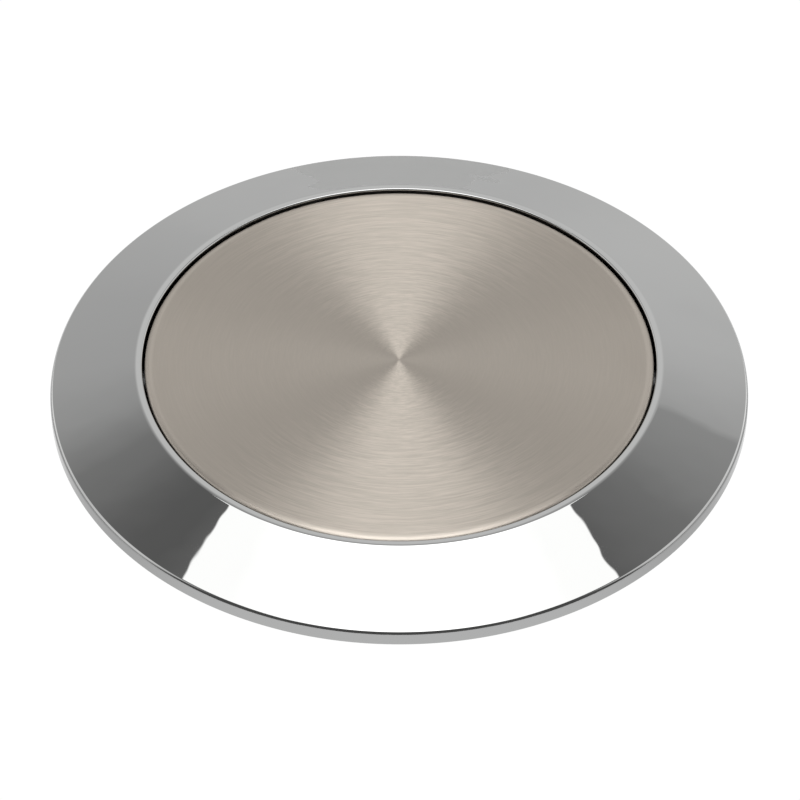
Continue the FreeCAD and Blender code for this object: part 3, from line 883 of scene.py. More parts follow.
@dataclass
class Bezel:
    """The chromed ring that covers the edge of the hole, and the screws that hold it from below."""

    outer_radius: float = 48.0
    edge_height: float = 2.0
    foot_radius: float = 46.4
    lip_radius: float = 36.2
    opening_radius: float = 35.25
    top: float = 6.65
    wall: float = 1.7
    edge_round: float = 0.42
    lip_round: float = 0.25
    foot_round: float = 0.1
    sides: int = 360
    screw_circle: float = 41.4
    boss_radius: float = 1.9
    boss_span: tuple[float, float] = (1.85, 3.72)
    hole_radius: float = 1.02
    screw_radius: float = 1.0
    screw_head: float = 1.8
    screw_span: tuple[float, float] = (0.6, 3.5)
    head_land: float = 0.25
    head_break: float = 0.05
    point_chamfer: float = 0.15
    socket_radius: float = 0.55
    socket_depth: float = 0.5
    thread_pitch: float = 0.4
    thread_depth: float = 0.12
    screw_sides: int = 28
    screw_count: int = 4

    def build_ring(self) -> bpy.types.Object:
        """Turn the ring, round its edge and lip and weld on the screw bosses.

        Returns:
            The finished ring.
        """
        under = self.top - self.wall
        slope = (self.top - self.edge_height) / (self.outer_radius - self.lip_radius)
        outline = [
            (self.foot_radius, 0.0),
            (self.outer_radius, 0.0),
            (self.outer_radius, self.edge_height),
            (self.lip_radius, self.top),
            (self.opening_radius, self.top),
            (self.opening_radius, under),
            (self.lip_radius, under),
            (self.foot_radius, under - (self.foot_radius - self.lip_radius) * slope),
        ]
        ring = Blank.lathe("bezel_ring_chromed", outline, self.sides)
        ring.round_rings([(self.outer_radius, self.edge_height)], self.edge_round, segments=8)
        ring.round_rings([(self.opening_radius, self.top)], self.lip_round, segments=8)
        ring.round_rings([(self.lip_radius, self.top)], self.lip_round, segments=6)
        ring.round_rings([(self.outer_radius, 0.0), (self.foot_radius, 0.0)], self.foot_round)
        low, high = self.boss_span
        tube = ring_section(self.hole_radius, self.boss_radius, low, high)
        bosses = Blank.lathe("bosses", tube, 24)
        self.set_round(bosses)
        return ring.adopt(bosses).finish(CHROME)

    def set_round(self, blank: Blank) -> None:
        """Move a blank to the first screw's place, at 45 degrees, and repeat it round the ring."""
        place = self.screw_circle * math.sqrt(0.5)
        blank.turn(0.0, "Z", (place, place, 0.0)).repeat_round(self.screw_count)

    def build_screws(self) -> bpy.types.Object:
        """Turn a countersunk screw with its thread and socket, and repeat it.

        Returns:
            The four screws, as one object.
        """
        low, high = self.screw_span
        cone_top = low + self.head_land + self.screw_head - self.screw_radius
        outline = [(self.screw_head - self.head_break, low), (self.screw_head, low + self.head_break)]
        outline += [(self.screw_head, low + self.head_land), (self.screw_radius, cone_top)]
        root = self.screw_radius - self.thread_depth
        start = cone_top + self.thread_pitch / 2
        outline += thread_turns(root, self.screw_radius, start, high, self.thread_pitch)
        outline += [(root - self.point_chamfer, high)]
        screw = Blank.lathe("bezel_screws_blackened", outline, self.screw_sides, closed=False)
        screw.cut(rod(self.socket_radius, low - BEYOND, low + self.socket_depth, 6))
        self.set_round(screw)
        return screw.finish(BLACK_STEEL)

    def build(self) -> None:
        """Build the bezel and put it in the frame."""
        fit(self.build_ring(), "housing", "chrome", "bezel_ring")
        fit(self.build_screws(), "housing", "black_steel", "bezel_screws")


@dataclass
class Lid:
    """The tilting lid: brushed disc, bonding pad, moulded carrier, pivot pins and their locking screws."""

    disc_radius: float = 34.9
    top: float = 6.45
    sheet: float = 1.0
    crown: tuple[float, float] = (1.15, 0.4)
    crown_steps: int = 12
    disc_round: float = 0.1
    sides: int = 288
    pad_radius: float = 31.5
    pad_thickness: float = 0.2
    pad_squeeze: float = 0.04
    carrier_radius: float = 34.2
    plate: float = 1.45
    bottom: float = 2.0
    rim: float = 1.6
    ring_radius: float = 18.6
    rib_width: float = 1.2
    rib_inner: float = 4.0
    rib_count: int = 12
    rim_round: float = 0.2
    ring_round: float = 0.15
    rib_round: float = 0.12
    boss_round: float = 0.25
    bay_inner: float = 29.4
    bay_span: tuple[float, float] = (-10.0, 3.4)
    boss_inner: float = 24.0
    boss_outer: float = 29.2
    boss_half: float = 3.2
    boss_bottom: float = -2.8
    pivot: float = 1.2
    pin_radius: float = 1.25
    pin_span: tuple[float, float] = (24.2, 38.3)
    pin_chamfer: float = 0.3
    pin_round: float = 0.08
    set_screw_at: float = 26.6
    set_screw_span: tuple[float, float] = (-2.7, -0.1)
    set_screw_radius: float = 1.0
    set_screw_sides: int = 28
    end_chamfer: float = 0.15
    cup_radius: float = 0.5
    thread_pitch: float = 0.4
    thread_depth: float = 0.12
    socket_radius: float = 0.55
    socket_depth: float = 1.0

    def build_disc(self) -> bpy.types.Object:
        """Turn the disc with its rolled-down edge.

        Returns:
            The finished disc.
        """
        low = self.top - self.sheet
        width, drop = self.crown
        turns = [math.pi / 2 * step / self.crown_steps for step in range(self.crown_steps, -1, -1)]
        inner, shoulder = self.disc_radius - width, self.top - drop
        edge = [(inner + width * math.sin(turn), shoulder + drop * math.cos(turn)) for turn in turns]
        disc = Blank.lathe("lid_disc_brushed", [(self.disc_radius, low), *edge], self.sides, closed=False)
        disc.round_rings([(self.disc_radius, low)], self.disc_round)
        return disc.finish(STEEL)

    def build_pad(self) -> bpy.types.Object:
        """Turn the double-sided pad, with its edge squeezed in a little.

        Returns:
            The finished pad.
        """
        high = self.top - self.sheet
        low = high - self.pad_thickness
        middle = (low + high) / 2
        edge = self.pad_radius - self.pad_squeeze
        outline = [(edge, low), (self.pad_radius, middle), (edge, high)]
        return Blank.lathe("lid_adhesive_pad_foam", outline, 160, closed=False).finish(FOAM)

    def build_carrier(self) -> bpy.types.Object:
        """Turn the carrier's plate, weld on its ribs and bosses and cut its bays and holes.

        Returns:
            The finished carrier.
        """
        top = self.top - self.sheet - self.pad_thickness
        plate = top - self.plate
        ring = self.ring_radius - self.rib_width
        rim = self.carrier_radius - self.rim
        outline = [
            (ring, plate),
            (ring, self.bottom),
            (self.ring_radius, self.bottom),
            (self.ring_radius, plate),
            (rim, plate),
            (rim, self.bottom),
            (self.carrier_radius, self.bottom),
            (self.carrier_radius, top),
        ]
        carrier = Blank.lathe("lid_carrier_moulded", outline, 192, closed=False)
        carrier.round_rings([(rim, self.bottom), (self.carrier_radius, self.bottom)], self.rim_round)
        carrier.round_rings([(ring, self.bottom), (self.ring_radius, self.bottom)], self.ring_round)
        half = self.rib_width / 2
        rib = Blank.block("rib", (self.rib_inner, -half, self.bottom), (rim + SINK, half, plate + SINK))
        rib.ease(self.rib_round)
        rib.turn(180.0 / self.rib_count).repeat_round(self.rib_count)
        carrier.weld(rib)
        for side in Side:
            out = side.value
            front, back = self.bay_span
            low = (out * self.bay_inner, front, self.bottom - BEYOND)
            high = (out * (self.carrier_radius + BEYOND), back, plate)
            carrier.cut(Blank.block("bay", low, high))
            low = (out * self.boss_inner, -self.boss_half, self.boss_bottom)
            high = (out * self.boss_outer, self.boss_half, plate + SINK)
            carrier.weld(Blank.block("boss", low, high).ease(self.boss_round))
            hole = rod(self.set_screw_radius + GAP, self.boss_bottom - BEYOND, self.pivot, 24)
            carrier.cut(hole.turn(0.0, "Z", (out * self.set_screw_at, 0.0, 0.0)))
        reach = self.boss_outer + BEYOND
        pin_hole = rod(self.pin_radius + GAP, -reach, reach, 40)
        carrier.cut(pin_hole.turn(90.0, "Y", (0.0, 0.0, self.pivot)))
        return carrier.finish(PLASTIC)

    def build_pin(self, side: Side) -> bpy.types.Object:
        """Turn one pivot pin with chamfered ends.

        Args:
            side: which end of the pivot.

        Returns:
            The finished pin.
        """
        inner, outer = self.pin_span
        small = self.pin_radius - self.pin_chamfer
        outline = [
            (small, inner),
            (self.pin_radius, inner + self.pin_chamfer),
            (self.pin_radius, outer - self.pin_chamfer),
            (small, outer),
        ]
        pin = Blank.lathe(f"pivot_pin_{side.label}_ground", outline, 48, closed=False)
        pin.round_rings(outline[1:3], self.pin_round)
        return along_pivot(pin, side, self.pivot).finish(GROUND, 25.0)

    def build_set_screw(self, side: Side) -> bpy.types.Object:
        """Turn one socket set screw with its thread.

        Args:
            side: which end of the pivot.

        Returns:
            The finished screw.
        """
        low, high = self.set_screw_span
        crest = self.set_screw_radius
        root = crest - self.thread_depth
        turns = thread_turns(crest, root, low + self.end_chamfer, high, self.thread_pitch)
        last = turns[-1][1] + self.thread_pitch / 2
        outline = [(crest - self.end_chamfer, low), *turns, (crest, last), (self.cup_radius, high)]
        name = f"pin_set_screw_{side.label}_blackened"
        screw = Blank.lathe(name, outline, self.set_screw_sides, closed=False)
        screw.cut(rod(self.socket_radius, low - BEYOND, low + self.socket_depth, 6))
        screw.turn(0.0, "Z", (side.value * self.set_screw_at, 0.0, 0.0))
        return screw.finish(BLACK_STEEL)

    def build(self) -> None:
        """Build the lid and put it in the frame."""
        fit(self.build_disc(), "lid", "brushed_steel", "lid_disc")
        fit(self.build_pad(), "lid", "foam", "lid_adhesive_pad")
        fit(self.build_carrier(), "lid", "black_plastic", "lid_carrier")
        for side in Side:
            fit(self.build_pin(side), "lid", "ground_steel", f"pivot_pin_{side.label}")
            fit(self.build_set_screw(side), "lid", "black_steel", f"pin_set_screw_{side.label}")


@dataclass
class Sleeve:
    """The moulded sleeve with its thread, stops, pivot bushes, rubber bumpers and foam gasket."""

    bore: float = 36.2
    core: float = 38.2
    depth: float = 36.0
    lead_in: float = 0.5
    shoulder_radius: float = 39.5
    shoulder_depth: float = 6.0
    root_radius: float = 39.85
    flange_radius: float = 43.8
    flange_span: tuple[float, float] = (0.6, 1.85)
    neck_edge: float = 3.45
    neck_top: float = 4.8
    thread_crest: float = 39.3
    thread_root_width: float = 2.2
    thread_crest_width: float = 0.8
    thread_low: float = -34.6
    thread_length: float = 26.0
    thread_pitch: float = 4.0
    thread_steps: int = 624
    keyway_width: float = 6.0
    keyway_floor: float = 38.0
    keyway_top: float = -7.0
    ledge_inner: float = 32.4
    ledge_span: tuple[float, float] = (-1.6, 1.0)
    ledge_sweep: float = 140.0
    post_inner: float = 32.0
    post_span: tuple[float, float] = (-0.2, 4.0)
    post_bottom: float = -10.0
    post_height: float = 5.0
    bed_bottom: float = -1.45
    bed_half: float = 2.65
    bed_outer: float = 38.6
    tail_at: tuple[float, float] = (-3.6, -1.1)
    tail_hole: float = 0.3
    tail_reach: float = 37.25
    pivot: float = 1.2
    bush_half: float = 2.6
    bush_span: tuple[float, float] = (-1.4, 3.85)
    bush_outer: float = 38.55
    collar_inner: float = 34.7
    collar_radius: float = 2.5
    bush_bore: float = 1.28
    collar_chamfer: float = 0.15
    close_span: tuple[float, float] = (32.7, 34.4)
    close_height: float = 0.9
    close_sweep: float = 16.0
    close_azimuth: float = 38.0
    open_span: tuple[float, float] = (32.4, 35.4)
    open_thickness: float = 0.85
    open_margin: float = 0.5
    gasket_span: tuple[float, float] = (39.9, 46.2)
    mould_round: float = 0.2
    step_round: float = 0.25
    close_round: float = 0.18
    open_round: float = 0.22
    gasket_round: float = 0.12
    screws: Bezel = field(default_factory=Bezel)

    def build_tube(self) -> bpy.types.Object:
        """Turn the tube and its flange, wind the thread and cut the keyways, beds and holes.

        Returns:
            The finished sleeve.
        """
        low, high = self.flange_span
        outline = [
            (self.bore, -self.depth),
            (self.core - self.lead_in, -self.depth),
            (self.core, self.lead_in - self.depth),
            (self.core, -self.shoulder_depth),
            (self.shoulder_radius, -self.shoulder_depth),
            (self.shoulder_radius, 0.0),
            (self.root_radius, low),
            (self.flange_radius, low),
            (self.flange_radius, high),
            (self.shoulder_radius, high),
            (self.shoulder_radius, self.neck_edge),
            (self.bore, self.neck_top),
        ]
        tube = Blank.lathe("sleeve_moulded", outline, 192)
        tube.round_rings([(self.flange_radius, low), (self.flange_radius, high)], self.mould_round)
        tube.round_rings([(self.shoulder_radius, -self.shoulder_depth)], self.step_round)
        tube.round_rings([(self.bore, -self.depth), (self.bore, self.neck_top)], self.mould_round)
        tube.weld(self.wind_thread(), self.cut_ledge())
        half = self.keyway_width / 2
        start = (-half, self.keyway_floor, -self.depth - BEYOND)
        keyway = Blank.block("keyway", start, (half, self.thread_crest + BEYOND, self.keyway_top))
        tube.cut(keyway.repeat_round(2))
        for side in Side:
            out = side.value
            front, back = self.post_span
            post_top = self.post_bottom + self.post_height
            start = (out * self.post_inner, front, self.post_bottom)
            post = Blank.block("post", start, (out * (self.bore + SINK), back, post_top))
            tube.weld(post.ease(self.mould_round))
            start = (out * (self.bore - BEYOND), -self.bed_half, self.bed_bottom)
            end = (out * self.bed_outer, self.bed_half, self.neck_top + BEYOND)
            tube.cut(Blank.block("bed", start, end))
        tail = rod(self.tail_hole, -self.tail_reach, self.tail_reach, 16)
        tube.cut(tail.turn(90.0, "Y", (0.0, *self.tail_at)))
        tube.cut(self.screw_cutter())
        return tube.finish(PLASTIC, 30.0)

    def wind_thread(self) -> Blank:
        """Wind the coarse outside thread.

        Returns:
            The thread, its root just inside the core.
        """
        wide, narrow = self.thread_root_width / 2, self.thread_crest_width / 2
        inside = self.core - SKIN
        section = [
            (inside, self.thread_low - wide),
            (self.thread_crest, self.thread_low - narrow),
            (self.thread_crest, self.thread_low + narrow),
            (inside, self.thread_low + wide),
        ]
        turns = self.thread_length / self.thread_pitch
        return Blank.helix("thread", section, turns, self.thread_length, self.thread_steps)

    def cut_ledge(self) -> Blank:
        """Turn the closing ledge and keep its back part.

        Returns:
            The ledge.
        """
        low, high = self.ledge_span
        ledge = Blank.lathe("ledge", ring_section(self.ledge_inner, self.bore + SKIN, low, high), 180)
        ledge.round_rings([(self.ledge_inner, low), (self.ledge_inner, high)], self.step_round)
        return ledge.keep_sector(self.ledge_sweep)

    def screw_cutter(self) -> Blank:
        """Turn the countersunk clearance of the bezel screws, four times.

        Returns:
            The cutter.
        """
        low, high = self.flange_span
        shank, head = self.screws.screw_radius + GAP, self.screws.screw_head + GAP
        land = low + self.screws.head_land
        outline = [(head, low - BEYOND), (head, land), (shank, land + head - shank), (shank, high + BEYOND)]
        cutter = Blank.lathe("screw_holes", outline, 32, closed=False)
        self.screws.set_round(cutter)
        return cutter

    def build_bush(self, side: Side) -> bpy.types.Object:
        """Shape one bearing block with its collar and bore.

        Args:
            side: which end of the pivot.

        Returns:
            The finished bush.
        """
        low, high = self.bush_span
        out = side.value
        start = (out * self.bore, -self.bush_half, low)
        end = (out * self.bush_outer, self.bush_half, high)
        block = Blank.block(f"pivot_bush_{side.label}_turned", start, end)
        block.ease(self.mould_round)
        inner, joint = self.collar_inner, self.bore + SINK
        chamfer, wide = self.collar_chamfer, self.collar_radius
        rim = [(wide - chamfer, inner), (wide, inner + chamfer), (wide, joint)]
        block.weld(along_pivot(Blank.lathe("collar", rim, 48, closed=False), side, self.pivot))
        bore = rod(self.bush_bore, inner - BEYOND, self.bush_outer + BEYOND, 48)
        block.cut(along_pivot(bore, side, self.pivot))
        return block.finish(ACETAL, 30.0)

    def build_close_bumper(self, side: Side) -> bpy.types.Object:
        """Turn one rubber strip of the closing ledge.

        Args:
            side: which side of the back.

        Returns:
            The finished bumper.
        """
        low = self.ledge_span[1]
        outline = ring_section(*self.close_span, low, low + self.close_height)
        strip = Blank.lathe(f"close_bumper_{side.label}_rubber", outline, 288)
        strip.keep_sector(self.close_sweep)
        strip.ease(self.close_round, segments=3)
        return strip.turn(-side.value * self.close_azimuth).finish(RUBBER)

    def build_open_bumper(self, side: Side) -> bpy.types.Object:
        """Shape one rubber pad of the opening stops.

        Args:
            side: which end of the pivot.

        Returns:
            The finished pad.
        """
        inner, outer = self.open_span
        out = side.value
        back = self.post_span[0]
        low = self.post_bottom + self.open_margin
        high = self.post_bottom + self.post_height - self.open_margin
        start = (out * inner, back - self.open_thickness, low)
        pad = Blank.block(f"open_bumper_{side.label}_rubber", start, (out * outer, back, high))
        return pad.ease(self.open_round, segments=3).finish(RUBBER)

    def build_gasket(self) -> bpy.types.Object:
        """Turn the foam ring under the flange.

        Returns:
            The finished gasket.
        """
        outline = ring_section(*self.gasket_span, 0.0, self.flange_span[0])
        gasket = Blank.lathe("desk_gasket_foam", outline, 192)
        gasket.ease(self.gasket_round)
        return gasket.finish(FOAM)

    def build(self) -> None:
        """Build the sleeve and what it holds, and put them in the frame."""
        fit(self.build_tube(), "housing", "black_plastic", "sleeve")
        fit(self.build_gasket(), "housing", "foam", "desk_gasket")
        for side in Side:
            fit(self.build_bush(side), "housing", "acetal", f"pivot_bush_{side.label}")
            fit(self.build_close_bumper(side), "housing", "rubber", f"close_bumper_{side.label}")
            fit(self.build_open_bumper(side), "housing", "rubber", f"open_bumper_{side.label}")


@dataclass
class ReturnSprings:
    """The two torsion springs round the pins; each winds up between its hooked tail and the lid."""

    radius: float = 2.3
    wire: float = 0.25
    pitch: float = 0.8
    turns: float = 4.5
    start: float = 30.3
    arm: float = 9.0
    tail: float = 3.6
    hook_end: float = 37.2
    hook_bend: float = 0.6
    pivot: float = 1.2
    section_sides: int = 12
    steps: int = 216

    def build_spring(self, side: Side) -> bpy.types.Object:
        """Wind one spring and draw out its arm, tail and hook.

        Args:
            side: which end of the pivot.

        Returns:
            The finished spring.
        """
        angles = [math.tau * step / self.section_sides for step in range(self.section_sides)]
        section = [(self.radius + self.wire * math.cos(a), self.wire * math.sin(a)) for a in angles]
        rise = self.pitch * self.turns
        # wound so that both ends run towards -Y
        hand = -side.value
        name = f"return_spring_{side.label}_wound"
        spring = Blank.helix(name, section, hand * self.turns, rise, self.steps)
        spring.turn(180.0 if side is Side.RIGHT else 0.0)
        along_pivot(spring, side, self.pivot)
        shift = side.value * self.start
        spring.turn(0.0, "X", (shift, 0.0, 0.0))
        end = side.value * (self.start + rise)
        top = self.pivot + self.radius
        low = self.pivot - self.radius
        near = self.wire * 1.2
        spring.draw_out((shift, 0.0, top), near, (0.0, -self.arm, 0.0))
        straight = self.tail - self.hook_bend
        spring.draw_out((end, 0.0, low), near, (0.0, -straight, 0.0))
        spring.bend_out((end, -straight, low), near, self.hook_bend, side.value)
        reach = side.value * self.hook_end - end - side.value * self.hook_bend
        corner = (end + side.value * self.hook_bend, -self.tail, low)
        spring.draw_out(corner, near, (reach, 0.0, 0.0))
        return spring.finish(SPRING, 60.0)

    def build(self) -> None:
        """Build both springs in place across the pivot, tied to no body."""
        for side in Side:
            spring = self.build_spring(side)
            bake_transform(spring)
            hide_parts(f"return_spring_{side.label}")
            log.info("%s: %d faces across the pivot", spring.name, len(spring.data.polygons))


@dataclass
class Clamp:
    """What clamps the desk top from below: rubber pad, keyed washer and ring nut."""

    pad_span: tuple[float, float] = (41.5, 46.0)
    pad_heights: tuple[float, float] = (-19.0, -18.0)
    washer_span: tuple[float, float] = (39.75, 46.5)
    washer_heights: tuple[float, float] = (-21.0, -19.0)
    key_width: float = 5.4
    key_radius: float = 38.5
    nut_heights: tuple[float, float] = (-29.1, -21.1)
    nut_bore: float = 38.55
    nut_radius: float = 43.0
    nut_flange_radius: float = 47.0
    nut_flange: float = 2.0
    nut_edge: float = 0.6
    lug_radius: float = 46.2
    lug_width: float = 6.0
    lug_count: int = 12
    nut_root: float = 39.7
    thread_gap: float = 0.3
    groove_turns: float = 3.0
    groove_steps: int = 360
    ridges: int = 3
    ridge_height: float = 0.15
    pad_round: float = 0.1
    washer_round: float = 0.3
    bore_round: float = 0.15
    key_round: float = 0.25
    key_inset: float = 0.01
    flange_round: float = 0.35
    lug_round: float = 0.4
    lug_taper: float = 2.0 / 3.0
    sleeve: Sleeve = field(default_factory=Sleeve)

    def build_pad(self) -> bpy.types.Object:
        """Turn the rubber ring, with shallow ridges against the desk top.

        Returns:
            The finished pad.
        """
        inner, outer = self.pad_span
        low, high = self.pad_heights
        valley = high - self.ridge_height
        outline = [(inner, low), (outer, low), (outer, valley)]
        width = (outer - inner) / self.ridges
        for ridge in range(self.ridges):
            edge = outer - ridge * width
            outline += [(edge - 0.3 * width, high), (edge - 0.7 * width, high), (edge - width, valley)]
        pad = Blank.lathe("grip_pad_ridged", outline, 192)
        pad.ease(self.pad_round)
        return pad.finish(RUBBER)

    def build_washer(self) -> bpy.types.Object:
        """Turn the washer and weld on its keys.

        Returns:
            The finished washer.
        """
        inner, outer = self.washer_span
        low, high = self.washer_heights
        washer = Blank.lathe("clamp_washer_plated", ring_section(inner, outer, low, high), 240)
        washer.round_rings([(outer, low), (outer, high)], self.washer_round, segments=3)
        washer.round_rings([(inner, low), (inner, high)], self.bore_round)
        half, inset = self.key_width / 2, self.key_inset
        key = Blank.block("key", (-half, self.key_radius, low + inset), (half, inner + BEYOND, high - inset))
        key.ease(self.key_round)
        return washer.weld(key.repeat_round(2)).finish(ZINC, 30.0)

    def build_nut(self) -> bpy.types.Object:
        """Turn the nut, weld on its lugs and cut its thread.

        Returns:
            The finished nut.
        """
        low, high = self.nut_heights
        outline = [
            (self.nut_bore, low),
            (self.nut_radius - self.nut_edge, low),
            (self.nut_radius, low + self.nut_edge),
            (self.nut_radius, high - self.nut_flange),
            (self.nut_flange_radius, high - self.nut_flange),
            (self.nut_flange_radius, high),
            (self.nut_bore, high),
        ]
        nut = Blank.lathe("ring_nut_moulded", outline, 240)
        rim = [(self.nut_flange_radius, high - self.nut_flange), (self.nut_flange_radius, high)]
        nut.round_rings(rim, self.flange_round, segments=3)
        start = (self.nut_radius - BEYOND, -self.lug_width / 2, low + SKIN)
        end = (self.lug_radius, self.lug_width / 2, high - self.nut_flange + SINK)
        lug = Blank.block("lug", start, end)
        lug.narrow_end(self.lug_radius, self.lug_taper)
        lug.ease(self.lug_round, segments=3)
        nut.weld(lug.repeat_round(self.lug_count))
        nut.cut(self.wind_groove())
        return nut.finish(PLASTIC, 30.0)

    def wind_groove(self) -> Blank:
        """Wind the cutter of the inside thread, in step with the sleeve's.

        Returns:
            The cutter.
        """
        thread = self.sleeve
        start = thread.thread_low + thread.thread_pitch
        wide, narrow = thread.thread_root_width / 2, thread.thread_crest_width / 2
        slope = (wide - narrow) / (thread.thread_crest - thread.core)
        mouth_radius = self.nut_bore - SINK
        mouth = wide - (mouth_radius - thread.core) * slope + self.thread_gap
        floor = narrow - (self.nut_root - thread.thread_crest) * slope + self.thread_gap
        section = [
            (mouth_radius, start - mouth),
            (self.nut_root, start - floor),
            (self.nut_root, start + floor),
            (mouth_radius, start + mouth),
        ]
        rise = self.groove_turns * thread.thread_pitch
        return Blank.helix("groove", section, self.groove_turns, rise, self.groove_steps)

    def build(self) -> None:
        """Build the clamp and put it in the frame."""
        fit(self.build_pad(), "clamp", "rubber", "grip_pad")
        fit(self.build_washer(), "clamp", "zinc_steel", "clamp_washer")
        fit(self.build_nut(), "nut", "black_plastic", "ring_nut")


# grey levels of the room's right, left and middle, by how far a direction points along +Y
RIGHT_LEVELS = [
    (0.0, 0.3), (0.2, 0.2), (0.25, 0.245), (0.37, 0.31), (0.44, 0.395), (0.5, 0.44), (0.585, 0.49),
    (0.605, 0.645), (0.68, 0.735), (0.73, 0.79), (0.78, 0.83), (0.82, 0.84), (0.92, 0.86),
    (0.955, 0.88), (0.985, 0.89),
]
LEFT_LEVELS = [
    (0.0, 0.3), (0.215, 0.21), (0.25, 0.18), (0.31, 0.188), (0.37, 0.227), (0.435, 0.298), (0.5, 0.33),
    (0.56, 0.44), (0.62, 0.55), (0.68, 0.605), (0.73, 0.65), (0.82, 0.67), (0.915, 0.685),
    (0.955, 0.67), (0.985, 0.75),
]
MIDDLE_LEVELS = [
    (0.0, 0.6), (0.2, 0.6), (0.5, 0.62), (0.6, 0.75), (0.68, 0.95), (0.8, 1.0), (0.9, 0.87), (1.0, 0.75),
]


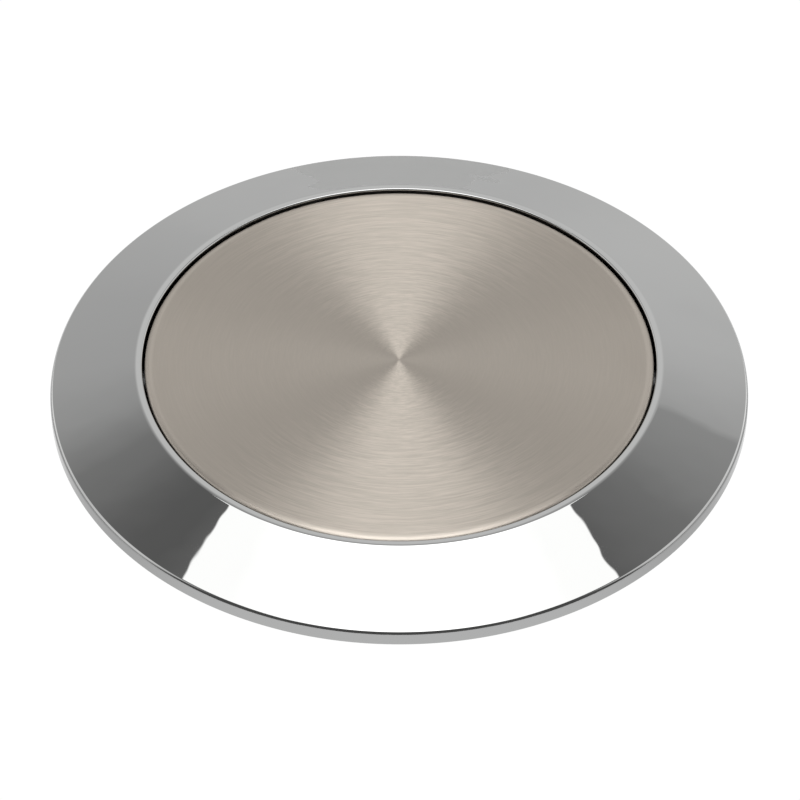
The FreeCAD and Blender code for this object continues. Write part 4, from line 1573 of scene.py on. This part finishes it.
@dataclass
class Studio:
    """White card with a hole for the sleeve, a pale floor under it, a lit room and the camera."""

    elevation: float = 43.39
    distance: float = 0.75
    lens: float = 244.75
    shift: tuple[float, float] = (0.00094, -0.00756)
    card_half: tuple[float, float] = (62.0, 88.0)
    card_hole: float = 40.0
    card_thickness: float = 1.0
    card_light: float = 1.02
    floor_level: float = -36.0
    floor_drop: float = 0.05
    floor_tone: Colour = (0.76, 0.76, 0.758)
    sky_tone: Colour = (1.0, 0.998, 0.99)
    box_light: float = 2.05
    wing_light: float = 0.8
    front_light: float = 0.12
    under_light: float = 0.77

    def build_card(self) -> None:
        """Cut the card and lay it level with the desk top."""
        Blank.clear()
        across, along = self.card_half
        bpy.ops.mesh.primitive_cube_add(size=2.0 * MM, location=(0.0, 0.0, -self.card_thickness * MM / 2))
        card = bpy.context.object
        card.name = "white_card"
        card.scale = (across, along, self.card_thickness / 2)
        bpy.ops.object.transform_apply(location=True, rotation=True, scale=True)
        bpy.ops.mesh.primitive_cylinder_add(vertices=128, radius=self.card_hole * MM, depth=10.0 * MM)
        cutter = bpy.context.object
        cut = card.modifiers.new("hole", "BOOLEAN")
        cut.object = cutter
        cut.operation = "DIFFERENCE"
        bpy.context.view_layer.objects.active = card
        bpy.ops.object.modifier_apply(modifier=cut.name)
        bpy.data.objects.remove(cutter)
        card.data.materials.append(self.glow("card_white", self.card_light))

    def build_floor(self) -> None:
        """Lay the pale floor that the sleeve stands on."""
        Blank.clear()
        level = (self.floor_level - self.floor_drop) * MM
        bpy.ops.mesh.primitive_plane_add(size=6.0, location=(0.0, 0.0, level))
        floor = bpy.context.object
        floor.name = "pale_floor"
        bpy.ops.object.transform_apply(location=True, rotation=True, scale=True)
        paint = bpy.data.materials.new("pale_floor")
        paint.use_nodes = True
        graph = Graph(paint.node_tree)
        inputs = {"Base Color": opaque(self.floor_tone), "Roughness": 0.8}
        board = graph.node("ShaderNodeBsdfPrincipled", inputs=inputs)
        graph.node("ShaderNodeOutputMaterial", inputs={"Surface": board})
        floor.data.materials.append(paint)

    @staticmethod
    def glow(name: str, strength: float) -> bpy.types.Material:
        """Make a plain white glowing finish."""
        made = bpy.data.materials.new(name)
        made.use_nodes = True
        graph = Graph(made.node_tree)
        inputs = {"Color": opaque((1.0, 1.0, 1.0)), "Strength": strength}
        light = graph.node("ShaderNodeEmission", inputs=inputs)
        graph.node("ShaderNodeOutputMaterial", inputs={"Surface": light})
        return made

    def light_room(self) -> None:
        """Light the room: an overhead softbox, a pale back wall and dimmer sides."""
        world = bpy.data.worlds.new("studio_room")
        bpy.context.scene.world = world
        world.use_nodes = True
        graph = Graph(world.node_tree)
        x, y, z = graph.split(graph.node("ShaderNodeTexCoord", output="Generated"))
        height = z.above(0.02)
        across = abs(x / height)
        along = y / height
        box = across.rise(0.480, 0.474) * along.rise(0.42, 0.36)
        box = box * along.rise(-0.52, -0.46) * z.rise(0.0, 0.1)
        ramps = (RIGHT_LEVELS, LEFT_LEVELS, MIDDLE_LEVELS)
        right, left, middle = (self.levels(graph, y.above(0.0), stops) for stops in ramps)
        sides = left + (right - left) * x.rise(-0.15, 0.15)
        spread = abs(x).rise(0.1, 0.42)
        upper = middle + (sides - middle) * spread
        upper = upper + (self.front_light - upper) * y.rise(0.02, -0.25)
        wings = abs(x).rise(0.57, 0.69) * y.rise(0.86, 0.76)
        wings = wings * y.rise(-0.35, -0.15) * z.rise(0.02, 0.1)
        upper = upper + wings * self.wing_light
        room = upper + (self.under_light - upper) * z.rise(0.02, -0.02)
        glow = self.box_light + across.rise(0.38, 0.12)
        strength = room + (glow - room) * box
        inputs = {"Color": opaque(self.sky_tone), "Strength": strength}
        sky = graph.node("ShaderNodeBackground", inputs=inputs)
        graph.node("ShaderNodeOutputWorld", inputs={"Surface": sky})

    @staticmethod
    def levels(graph: Graph, along: Wire, stops: Sequence[tuple[float, float]]) -> Wire:
        """Read a ramp of grey levels along a direction."""
        return graph.node("ShaderNodeValToRGB", {"stops": stops}, {0: along})

    def place_camera(self) -> None:
        """Stand the camera in front of the grommet, looking down at its lid."""
        lens = bpy.data.cameras.new("studio_camera")
        lens.lens = self.lens
        lens.sensor_width = 36.0
        lens.clip_start = 0.05
        lens.clip_end = 50.0
        lens.shift_x, lens.shift_y = self.shift
        camera = bpy.data.objects.new("studio_camera", lens)
        bpy.context.scene.collection.objects.link(camera)
        tilt = math.radians(self.elevation)
        back = Vector((0.0, -math.cos(tilt), math.sin(tilt)))
        camera.location = back * self.distance
        camera.rotation_euler = (math.pi / 2 - tilt, 0.0, 0.0)
        bpy.context.scene.camera = camera

    def build(self) -> None:
        """Build the studio."""
        self.build_card()
        self.build_floor()
        self.light_room()
        self.place_camera()
        bpy.context.scene.view_settings.view_transform = "Standard"
        log.info("studio: card, floor, room and camera")


def main() -> None:
    """Build every sub-assembly and the studio, in order."""
    logging.basicConfig(level=logging.INFO, format="%(message)s")
    bezel = Bezel()
    sleeve = Sleeve(screws=bezel)
    for part in (bezel, Lid(), sleeve, ReturnSprings(), Clamp(sleeve=sleeve), Studio()):
        part.build()
        log.info("%s done", type(part).__name__)


if __name__ == "__main__":
    main()
